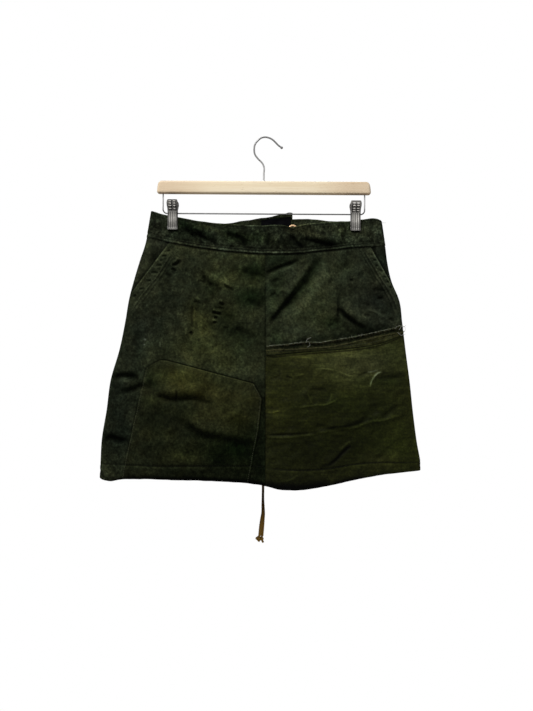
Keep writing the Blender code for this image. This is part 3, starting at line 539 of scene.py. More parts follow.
def finely(line, count=80):
    """Evenly spaced points on the straight stretches between a line's points."""
    return at_shares(line, np.linspace(0.0, 1.0, count))


def table_line(rows, start, stop, count=160):
    """Points on a table's curve between two x."""
    x = np.linspace(start, stop, count)
    return np.stack([x, curve(rows, x)], axis=-1)


def side_line(side, top, low, count=120):
    """Points down a side fold between two z."""
    z = np.linspace(top, low, count)
    return np.stack([curve(SIDES, z, 1 if side == LEFT else 2), z], axis=-1)


def corner(side, rows):
    """Where a table's curve meets a side fold."""
    z = 0.5 * (WAIST_Z + HEM_Z)
    for _ in range(CORNER_STEPS):
        x = float(curve(SIDES, z, 1 if side == LEFT else 2))
        z = float(curve(rows, x))
    return x, z


def centre_front_x(z):
    (x0, z0), (x1, z1) = CENTRE_FRONT
    return x0 + (x1 - x0) * (z - z0) / (z1 - z0)


def lowered(points, drop):
    return np.asarray(points, float) - np.array([0.0, drop])


def line_reach(x, z, points):
    """Distance to a line, and the share of its length at the nearest point."""
    lengths = lengths_along(points)
    best, share = np.full(x.shape, 1e9), np.zeros(x.shape)
    for (x0, z0), (x1, z1), start, stop in zip(points, points[1:], lengths, lengths[1:]):
        run, rise = x1 - x0, z1 - z0
        along = np.clip(((x - x0) * run + (z - z0) * rise) / (run**2 + rise**2), 0.0, 1.0)
        away = np.hypot(x - x0 - along * run, z - z0 - along * rise)
        share = np.where(away < best, start + along * (stop - start), share)
        best = np.minimum(best, away)
    return best, share / lengths[-1]


def stroke(x, z, points, width, height):
    """A soft ridge, trough or mark along a line, which fades out at the line's ends."""
    points = np.asarray(points, float)
    if 2 < len(points) < 12:
        points = smooth_line(points, 4 * len(points))
    low, high = points.min(axis=0) - STROKE_REACH * width, points.max(axis=0) + STROKE_REACH * width
    near = (x > low[0]) & (x < high[0]) & (z > low[1]) & (z < high[1])
    made = np.zeros(x.shape)
    away, share = line_reach(x[near], z[near], points)
    made[near] = height * np.exp(-((away / width) ** 2)) * (1.0 - np.abs(2.0 * share - 1.0) ** STROKE_ENDS)
    return made


# The hung cloth's two surfaces -----------------------------------------------------------------
GAP_FADE = 0.1  # share of the fall over which the gap opens below the waistband
SLOPE_STEP = 0.5
CREASE_DRIFTS = ((5.0, 31.0), (4.0, 23.0))  # how far the unevenness wanders along x and z, over what length


def fall(z):
    """0 at the waist, 1 at the hem."""
    return np.clip((WAIST_Z - z) / (WAIST_Z - HEM_Z), 0.0, 1.0)


def half_gap(z):
    """Half the gap between the layers at a side fold."""
    down = fall(z)
    below_band = (HALF_GAP_BELOW_BAND - HALF_GAP_WAIST) * smooth(down / GAP_FADE)
    return HALF_GAP_WAIST + below_band + (HALF_GAP_HEM - HALF_GAP_BELOW_BAND) * down


def side_distance(x, z):
    """Distance to the nearer side fold, and 1 where that is the left one, -1 where the right."""
    from_left = x - curve(SIDES, z, 1)
    from_right = curve(SIDES, z, 2) - x
    return np.maximum(np.minimum(from_left, from_right), 0.0), np.where(from_left < from_right, 1.0, -1.0)


def fold_height(x, z, x0, z0, x1, z1, width, height):
    """A soft ridge or trough along a straight line."""
    run, rise = x1 - x0, z1 - z0
    share = np.clip(((x - x0) * run + (z - z0) * rise) / (run**2 + rise**2), 0.0, 1.0)
    away = np.hypot(x - x0 - share * run, z - z0 - share * rise)
    return height * np.exp(-((away / width) ** 2))


def uneven_waves():
    """Wave vectors, phases and heights of the cloth's slight unevenness."""
    ways = random.uniform(0.0, math.pi, UNEVEN_WAVES)
    lengths = np.exp(random.uniform(*np.log(UNEVEN_LENGTHS), UNEVEN_WAVES))
    sizes = 2.0 * math.pi / lengths
    phases = random.uniform(0.0, 6.28, UNEVEN_WAVES)
    return list(zip(sizes * np.cos(ways), sizes * np.sin(ways), phases, UNEVEN_SLOPE / sizes))


WAVES = uneven_waves()


def crease_height(face, x, z):
    creases = sum(
        stroke(x, z + CREASE_DROP * width, points, width, height) for points, width, height in CREASES[face]
    )
    (far_x, length_z), (far_z, length_x) = CREASE_DRIFTS
    drift_x, drift_z = x + far_x * np.sin(z / length_z + face), z + far_z * np.sin(x / length_x)
    uneven = sum(height * np.sin(a * drift_x + b * drift_z + phase + face) for a, b, phase, height in WAVES)
    return CREASE_GAIN * creases + uneven


def bulge(face, x, z):
    """How far the cloth stands out in front of its folded sides."""
    at_waist, at_hem = STAND_OUT[face]
    left, right = curve(SIDES, z, 1), curve(SIDES, z, 2)
    across = np.clip((2 * x - left - right) / (right - left), -1.0, 1.0)
    down = fall(z)
    between_clips = np.cos(0.5 * math.pi * np.clip(x / CLIP_REACH, -1.0, 1.0)) ** 2
    out = at_waist * between_clips * (1.0 - smooth(down / WAIST_FADE)) + at_hem * down * (1.0 - across**2)
    folds = sum(fold_height(x, z, *row) for row in FOLDS[face]) + crease_height(face, x, z)
    return out + folds * smooth(side_distance(x, z)[0] / FOLD_FADE)


def surface(face, x, z):
    """Points of the cloth's outer face at x and z, and its outward normals."""
    step = SLOPE_STEP
    away, side = side_distance(x, z)
    radius = half_gap(z)
    cosine = 1.0 - np.clip(away / radius, 0.0, 1.0)
    sine = np.sqrt(1.0 - cosine**2)
    slope_x = (bulge(face, x + step, z) - bulge(face, x - step, z)) / (2 * step)
    slope_z = (bulge(face, x, z + step) - bulge(face, x, z - step)) / (2 * step)
    lean = (side_distance(x, z + step)[0] - side_distance(x, z - step)[0]) / (2 * step)
    points = np.stack([x, face * (radius * sine + bulge(face, x, z)), z], axis=-1)
    normals = np.stack(
        [
            -(side * cosine + slope_x * sine),
            face * sine,
            -(cosine * lean + slope_z * sine),
        ],
        axis=-1,
    )
    return points, normals / np.linalg.norm(normals, axis=-1, keepdims=True)


def on_its_side(face, points):
    """Keeps the points of a front or back from crossing the other beyond their shared seam."""
    points[..., 1] = face * (np.maximum(face * points[..., 1], 0.0) + 0.5 * SEAM)
    return points


def on_cloth(face, line, offset):
    """Points at an offset from the surface along a line of x, z."""
    line = np.asarray(line, float)
    points, normals = surface(face, line[:, 0], line[:, 1])
    return on_its_side(face, points + normals * np.broadcast_to(offset, len(line))[:, None])


# Meshes ----------------------------------------------------------------------------------------
def piece(name, points, faces, look, slot, nodes=(), colours=None, angle=50.0):
    """A mesh of the looks, from points in millimetres, which rides on the part's one body."""
    mesh = bpy.data.meshes.new(name)
    mesh.from_pydata((np.asarray(points, float) * MM).tolist(), [], faces)
    paint = np.ones((len(points), 4))
    if colours is not None:
        paint[:, : colours.shape[1]] = colours
    mesh.attributes.new("paint", "FLOAT_COLOR", "POINT").data.foreach_set("color", paint.ravel())
    mesh.shade_smooth()
    mesh.set_sharp_from_angle(angle=math.radians(angle))
    mesh.materials.append(look)
    made = bpy.data.objects.new(name, mesh)
    bpy.context.collection.objects.link(made)
    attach(made, "root")
    if nodes:
        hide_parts(*nodes)
    return made


def normalised(vectors):
    return vectors / np.maximum(np.linalg.norm(vectors, axis=-1, keepdims=True), 1e-9)


def tubes(paths, radii, sides, across=(0.0, 1.0, 0.0)):
    """Points and faces of closed round tubes along paths of equal counts; across is never along them."""
    paths = np.asarray(paths, float)
    count, steps = paths.shape[:2]
    ways = normalised(np.gradient(paths, axis=1))
    one = normalised(np.cross(ways, across))
    two = np.cross(ways, one)
    angles = 2.0 * math.pi * np.arange(sides) / sides
    rings = one[:, :, None] * np.cos(angles)[:, None] + two[:, :, None] * np.sin(angles)[:, None]
    radii = np.asarray(radii, float)
    if radii.ndim < 3:
        radii = np.broadcast_to(radii, (count, steps))[..., None]
    points = paths[:, :, None] + rings * np.broadcast_to(radii, (count, steps, sides))[..., None]
    index = np.arange(count * steps * sides).reshape(count, steps, sides)
    after = np.roll(index, -1, axis=2)
    quads = np.stack([index[:, :-1], after[:, :-1], after[:, 1:], index[:, 1:]], axis=-1).reshape(-1, 4)
    faces = quads.tolist() + index[:, 0, ::-1].tolist() + index[:, -1].tolist()
    return points.reshape(-1, 3), faces


def joined(parts):
    """Several meshes' points and faces as one."""
    points, faces, first = [], [], 0
    for some_points, some_faces in parts:
        points.append(some_points)
        faces += [[first + corner_index for corner_index in face] for face in some_faces]
        first += len(some_points)
    return np.concatenate(points), faces


def every_second(count):
    """Every second index up to count, the last one too."""
    return sorted(set(range(0, count, 2)) | {count - 1})


def wall_faces(rows, columns, kept_rows, kept_columns):
    """Faces of a fine outer skin, a coarser inner one and the rim between them."""
    outer = np.arange(rows * columns).reshape(rows, columns)
    inner = rows * columns + np.arange(len(kept_rows) * len(kept_columns)).reshape(len(kept_rows), -1)
    faces = []
    for skin, turn in ((outer, 1), (inner, -1)):
        ring = np.stack([skin[:-1, :-1], skin[1:, :-1], skin[1:, 1:], skin[:-1, 1:]], axis=-1)
        faces += ring.reshape(-1, 4)[:, ::turn].tolist()
    last_row, last_column = len(kept_rows) - 1, len(kept_columns) - 1
    edges = [
        (outer[0, :], inner[0, :], kept_columns),
        (outer[:, -1], inner[:, last_column], kept_rows),
        (outer[-1, ::-1], inner[last_row, ::-1], [columns - 1 - c for c in reversed(kept_columns)]),
        (outer[::-1, 0], inner[::-1, 0], [rows - 1 - r for r in reversed(kept_rows)]),
    ]
    for fine, coarse, kept in edges:
        for place, (start, stop) in enumerate(zip(kept, kept[1:])):
            faces.append([*fine[start : stop + 1].tolist(), int(coarse[place + 1]), int(coarse[place])])
    return faces


def patch(top, bottom, left, right, across, down):
    """Rows of x, z points between four lines; top and bottom run to the right, the others down."""
    s = np.asarray(across, float)[None, :, None]
    t = np.asarray(down, float)[:, None, None]
    upper, lower = at_shares(top, across)[None], at_shares(bottom, across)[None]
    before, after = at_shares(left, down)[:, None], at_shares(right, down)[:, None]
    (p00, p10), (p01, p11) = (np.asarray(top)[[0, -1]], np.asarray(bottom)[[0, -1]])
    corners = (1 - s) * (1 - t) * p00 + s * (1 - t) * p10 + (1 - s) * t * p01 + s * t * p11
    return (1 - t) * upper + t * lower + (1 - s) * before + s * after - corners


def length_of(*lines):
    return sum(lengths_along(np.asarray(line, float))[-1] for line in lines) / len(lines)


def shares(length, spacing, marks=()):
    """Even shares of a length, closer at its two ends, with extra ones at the marks."""
    near_ends = [inset / length for inset in EDGE_INSETS]
    fixed = sorted([*near_ends, *(1.0 - share for share in near_ends), *marks])
    even = np.linspace(0.0, 1.0, max(3, round(length / spacing)) + 1)
    gap = NEAREST_SHARE * spacing / length
    kept = [share for share in even[1:-1] if min(abs(share - other) for other in fixed) > gap]
    return sorted({0.0, 1.0, *fixed, *kept})


def share_at(line, z):
    """The share of a falling line's length at which it passes z."""
    line = np.asarray(line, float)
    lengths = lengths_along(line) / lengths_along(line)[-1]
    return float(np.interp(-z, -line[:, 1], lengths))


def edge_distances(grid):
    """Distance of each grid point to the top, bottom, left and right edge, along the grid."""
    found = {}
    for axis, (start, stop) in ((0, ("top", "bottom")), (1, (LEFT, RIGHT))):
        steps = np.linalg.norm(np.diff(grid, axis=axis), axis=-1)
        pad = [(1, 0), (0, 0)] if axis == 0 else [(0, 0), (1, 0)]
        run = np.cumsum(np.pad(steps, pad), axis=axis)
        found[start] = run
        found[stop] = (run[-1:] if axis == 0 else run[:, -1:]) - run
    return found


def rolled(grid, edges):
    """How far a wall's outer face is drawn in round its pressed edges."""
    distances = edge_distances(grid)
    drop = np.zeros(grid.shape[:2])
    for edge, (depth, reach) in edges.items():
        near = 1.0 - np.clip(distances[edge] / reach, 0.0, 1.0)
        drop = np.maximum(drop, depth * (1.0 - np.sqrt(1.0 - near**2)))
    return drop


def wall(node, face, grid, outer, inner, edges, look, slot):
    """A cloth piece in place of its CAD node: two skins at offsets from a surface."""
    x, z = grid[..., 0], grid[..., 1]
    points, normals = surface(face, x, z)
    outer = np.broadcast_to(outer, x.shape) + relief(node, x, z) - rolled(grid, edges)
    inner = np.broadcast_to(inner, x.shape)
    skins = [on_its_side(face, points + normals * offset[..., None]) for offset in (outer, inner)]
    kept_rows, kept_columns = every_second(x.shape[0]), every_second(x.shape[1])
    kept = np.ix_(kept_rows, kept_columns)
    faces = wall_faces(*x.shape, kept_rows, kept_columns)
    if face == BACK:
        faces = [corners[::-1] for corners in faces]
    colours = cloth_colour(node, face, x, z)
    places = np.concatenate([skins[0].reshape(-1, 3), skins[1][kept].reshape(-1, 3)])
    tints = np.concatenate([colours.reshape(-1, 4), colours[kept].reshape(-1, 4)])
    return piece(f"{node}_cloth", places, faces, look, slot, [node], tints)


# Sewing ----------------------------------------------------------------------------------------
EDGE_INSETS = (0.45, 1.0, 1.8)
NEAREST_SHARE = 0.35  # of the spacing: an even row closer than this to a fixed one is left out
FRONT_SPACING, BACK_SPACING, BAND_SPACING = ((1.3, 2.3, 1.0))

HEM_STITCH = {  # x, z of the hem's stitched line
    "front_left": [(-270, -542.6), (-251.9, -541.9), (-158, -540), (-29, -537.2), (1, -537.6)],
    "front_right_lower": [(5, -541.2), (94, -542.8), (153, -535.6), (256.5, -536.8)],
    "back_left": [(-270, -545), (-130, -537), (-1, -536)],
    "back_right": [(1, -536), (130, -532), (256.5, -530)],
}
POCKET_STITCH = {  # x, z of the two stitched lines beside each pocket opening
    LEFT: [
        [(-149, -183), (-166, -211), (-181, -235), (-198, -256), (-213, -277), (-225, -296)],
        [(-143.5, -184.5), (-161, -213), (-176, -237), (-193, -259), (-208, -280), (-221, -302)],
    ],
    RIGHT: [
        [(163.5, -182.5), (172, -197), (183, -215), (195, -234), (214, -265), (224, -291)],
        [(158.5, -183.5), (167, -198), (178, -217), (191, -238), (208, -266), (219, -296)],
    ],
}
DARTS = {
    "front_left": [(-121, -190), (-119.5, -250), (-119, -324)],
    "front_right_upper": [(122.5, -190), (122, -250), (121.5, -310)],
}
PUCKERS = {  # x, z of each pucker's middle, its length, its slope from the horizontal in degrees
    "front_left": [
        (-158.5, -189, 6, 15),
        (-165.5, -197.5, 9, 5),
        (-170, -205, 6, 10),
        (-174, -213, 9, 0),
        (-182, -225, 12, 0),
        (-191.5, -238.5, 9, 5),
        (-203, -252, 9, 10),
        (-214.5, -264, 7, 15),
    ],
    "front_right_upper": [
        (178, -193, 5, -10),
        (183, -202, 5, 0),
        (186.5, -211, 6, 0),
        (194, -219.5, 8, -25),
        (200, -230, 6, -25),
        (205, -238, 5, -25),
        (209.5, -247, 5, -25),
    ],
}
PUCKER_WIDTH, PUCKER_DEPTH, PUCKER_GAP = 1.9, 1.1, 3.4
GROOVE_WIDTH, RIPPLE_REACH, SEWN_REACH = 1.5, 4.5, 9.0
RIPPLE_DRIFT, RIPPLE_DRIFT_PACE = 0.25, 1.7
HEM_ROPE_SPACING, HEM_ROPE_HEIGHT, HEM_ROPE_SLANT = 15.0, 0.42, 0.9
HEM_ROPE_TOP_FADE, HEM_ROPE_LOW_FADE, HEM_ROPE_AT_EDGE = 4.0, 3.0, 0.3
HEM_ROPE_DRIFTS = ((5.0, 23.0), (3.0, 9.7))  # how far the ropes wander, and over what length of hem
STITCH_PITCH, STITCH_LENGTH, STITCH_RADIUS = 3.0, 2.1, 0.26
STITCH_STEPS = [  # how far along a stitch, how far it is lifted, its share of the radius
    (-0.5, -0.12, 0.5),
    (-0.2, 0.2, 1.0),
    (0.2, 0.2, 1.0),
    (0.5, -0.12, 0.5),
]


def patch_edge(inset):
    """The cargo pocket's outline, moved inwards, from the top of its left side round to its right."""
    left = np.array([CARGO_LEFT[-1], CARGO_TOP[0]]) + [(inset, 0.0)]
    top = lowered(CARGO_TOP, inset)
    right = np.array(CARGO_RIGHT) - [(inset, 0.0)]
    return left, top, right


def sewn_lines():
    """By node: each stitched line, its groove's depth, its thread, and its pucker height and spacing."""
    x_left, x_right = corner(LEFT, FRONT_SEAM)[0] + 1.0, corner(RIGHT, FRONT_SEAM)[0] - 1.0
    made = {node: [] for node in LAYERS}
    made["front_waistband"] = [
        (lowered(table_line(FRONT_TOP, x_left + 7.0, x_right + 2.0), 3.0), 0.5, "dark", 0.1, 8.0),
        (lowered(table_line(FRONT_SEAM, x_left, x_right), -7.4), 0.75, "dark", 0.16, 7.0),
    ]
    made["back_waistband_left"] = [
        (lowered(table_line(BACK_TOP_LEFT, -186.0, LAP_END - 2.0), 3.0), 0.5, "dark", 0.1, 8.0),
        (lowered(table_line(BACK_SEAM, -196.0, CENTRE_BACK_X), -7.0), 0.7, "dark", 0.14, 7.0),
        (np.array([(LAP_END - 3.0, -128.0), (LAP_END - 3.0, -165.0)]), 0.5, "dark", 0.1, 8.0),
    ]
    made["back_waistband_right"] = [
        (lowered(table_line(BACK_TOP_RIGHT, LAP_START + 2.0, 192.0), 3.0), 0.5, "dark", 0.1, 8.0),
        (lowered(table_line(BACK_SEAM, LAP_START + 2.0, 197.0), -7.0), 0.7, "dark", 0.14, 7.0),
        (np.array([(LAP_START + 3.0, -138.0), (LAP_START + 3.0, -174.0)]), 0.5, "dark", 0.1, 8.0),
    ]
    for node, side in (("front_left", LEFT), ("front_right_upper", RIGHT)):
        for line in POCKET_STITCH[side]:
            made[node].append((smooth_line(line, 60), 0.7, "dark", 0.1, 9.0))
        made[node].append((smooth_line(DARTS[node], 60), 0.45, None, 0.05, 9.0))
    for node, line in HEM_STITCH.items():
        made[node].append((table_line(line, line[0][0], line[-1][0]), 0.6, "dark", 0.12, 9.0))
    left, top, right = patch_edge(2.2)
    made["cargo_pocket"] = [
        (left, 0.55, "pale", 0.12, 8.0),
        (top[:-1], 0.45, "dark", 0.1, 9.0),
        (np.concatenate([top[-2:-1], right]), 0.55, "pale", 0.12, 8.0),
        (table_line(HEM_STITCH["front_left"], -226.0, -18.0), 0.5, "dark", 0.12, 9.0),
    ]
    stop = corner(RIGHT, NARROW_RAW_EDGE)[0] - 4.0
    made["raw_edge_narrow"] = [
        (lowered(table_line(YOKE_SEAM, 5.0, stop), -5.6), 0.25, "pale", 0.05, 7.0),
    ]
    made["front_right_lower"].append(
        (lowered(table_line(YOKE_SEAM, 5.0, 222.0), 2.4), 0.5, "olive", 0.1, 7.0)
    )
    for node, way in (("back_left", -1.0), ("back_right", 1.0)):
        centre = np.array([(CENTRE_BACK_X + way * 3.0, -182.0), (CENTRE_BACK_X + way * 3.0, -554.0)])
        made[node].append((centre, 0.45, "dark", 0.1, 8.0))
    return made


LAYERS = {  # side of the skirt and layer of each cloth node
    "front_waistband": (FRONT, BAND),
    "back_waistband_left": (BACK, BAND),
    "back_waistband_right": (BACK, BAND),
    "front_left": (FRONT, PANEL),
    "front_right_upper": (FRONT, PANEL),
    "front_right_lower": (FRONT, PANEL),
    "pocket_facing_left": (FRONT, PANEL),
    "pocket_facing_right": (FRONT, PANEL),
    "cargo_pocket": (FRONT, PATCH),
    "raw_edge_wide": (FRONT, WIDE_ALLOWANCE),
    "raw_edge_narrow": (FRONT, NARROW_ALLOWANCE),
    "back_left": (BACK, PANEL),
    "back_right": (BACK, PANEL),
    "label": (BACK, LABEL_LAYER),
}
SEWN = sewn_lines()


def pucker_lines(node):
    """The ends of each pucker across a pocket's band."""
    made = []
    for x, z, length, slope in PUCKERS.get(node, ()):
        half_x = 0.5 * length * math.cos(math.radians(slope))
        half_z = 0.5 * length * math.sin(math.radians(slope))
        made.append(np.array([(x - half_x, z - half_z), (x + half_x, z + half_z)]))
    return made


def relief(node, x, z):
    """The fine form of a piece's outer face: stitched grooves, puckers beside them and the hem's ropes."""
    made = np.zeros(x.shape)
    for line, depth, _, height, spacing in SEWN[node]:
        low, high = line.min(axis=0) - SEWN_REACH, line.max(axis=0) + SEWN_REACH
        near = (x > low[0]) & (x < high[0]) & (z > low[1]) & (z < high[1])
        away, share = line_reach(x[near], z[near], line)
        turns = share * lengths_along(line)[-1] / spacing
        turns = turns + RIPPLE_DRIFT * np.sin(RIPPLE_DRIFT_PACE * turns)
        ripple = np.sin(2.0 * math.pi * turns) * np.exp(-((away / RIPPLE_REACH) ** 2))
        made[near] += height * ripple - depth * np.exp(-((away / GROOVE_WIDTH) ** 2))
    for ends in pucker_lines(node):
        made += stroke(x, z, lowered(ends, 0.5 * PUCKER_WIDTH), PUCKER_WIDTH, -PUCKER_DEPTH)
        made += stroke(x, z, lowered(ends, PUCKER_GAP), PUCKER_WIDTH, 0.5 * PUCKER_DEPTH)
    if node in HEM_STITCH or node == "cargo_pocket":
        made += hem_ropes(HEM_STITCH.get(node, HEM_STITCH["front_left"]), node, x, z)
    return made


def hem_ropes(stitch, node, x, z):
    """Slanting puckers between the hem's stitched line and its edge."""
    hem = BACK_HEM if node.startswith("back") else FRONT_HEM
    top, low = curve(stitch, x), curve(hem, x)
    inside = smooth((top - z) / HEM_ROPE_TOP_FADE) * smooth((z - low) / HEM_ROPE_LOW_FADE + HEM_ROPE_AT_EDGE)
    drift = sum(far * np.sin(x / length) for far, length in HEM_ROPE_DRIFTS)
    slanted = x + HEM_ROPE_SLANT * (z - low) + drift
    return HEM_ROPE_HEIGHT * np.sin(2.0 * math.pi * slanted / HEM_ROPE_SPACING) * inside


def stitches(face, node, line):
    """Short raised threads in a row along a stitched line."""
    count = max(2, round(lengths_along(line)[-1] / STITCH_PITCH))
    places = at_shares(line, (np.arange(count) + 0.5) / count)
    ways = normalised(at_shares(line, (np.arange(count) + 0.6) / count) - places)
    along, lift, thick = np.array(STITCH_STEPS).T
    spots = places[:, None] + ways[:, None] * (along * STITCH_LENGTH)[:, None]
    flat = spots.reshape(-1, 2)
    offset = LAYERS[node][1][0] + relief(node, flat[:, 0], flat[:, 1])
    points = on_cloth(face, flat, offset + np.tile(lift, count))
    return tubes(points.reshape(count, len(lift), 3), thick * STITCH_RADIUS, 5)


def make_stitches(looks):
    """All the stitches of each thread colour, as one joined mesh for each side of the skirt."""
    for thread in ("dark", "pale", "olive"):
        for face, name in ((FRONT, "front"), (BACK, "back")):
            rows = [
                stitches(face, node, row[0])
                for node, lines in SEWN.items()
                for row in lines
                if row[2] == thread and LAYERS[node][0] == face
            ]
            if rows:
                piece(f"stitches_{thread}_{name}", *joined(rows), looks[f"thread_{thread}"], "green_twill")


# Colour ----------------------------------------------------------------------------------------
GREEN = (0.0150, 0.0178, 0.0092)
CANVAS = (0.0116, 0.0133, 0.0030)
BASES = {  # colour of each cloth node
    "front_waistband": (0.0099, 0.0121, 0.0072),
    "back_waistband_left": (0.0110, 0.0135, 0.0072),
    "back_waistband_right": (0.0190, 0.0225, 0.0125),
    "front_left": GREEN,
    "front_right_upper": (0.0182, 0.0216, 0.0122),
    "front_right_lower": CANVAS,
    "pocket_facing_left": (0.0145, 0.0168, 0.0098),
    "pocket_facing_right": (0.0115, 0.0140, 0.0090),
    "cargo_pocket": (0.0112, 0.0130, 0.0062),
    "raw_edge_wide": (0.0135, 0.0158, 0.0070),
    "raw_edge_narrow": (0.0230, 0.0247, 0.0092),
    "back_left": GREEN,
    "back_right": (0.0162, 0.0192, 0.0100),
    "label": (0.0016, 0.0016, 0.0023),
}
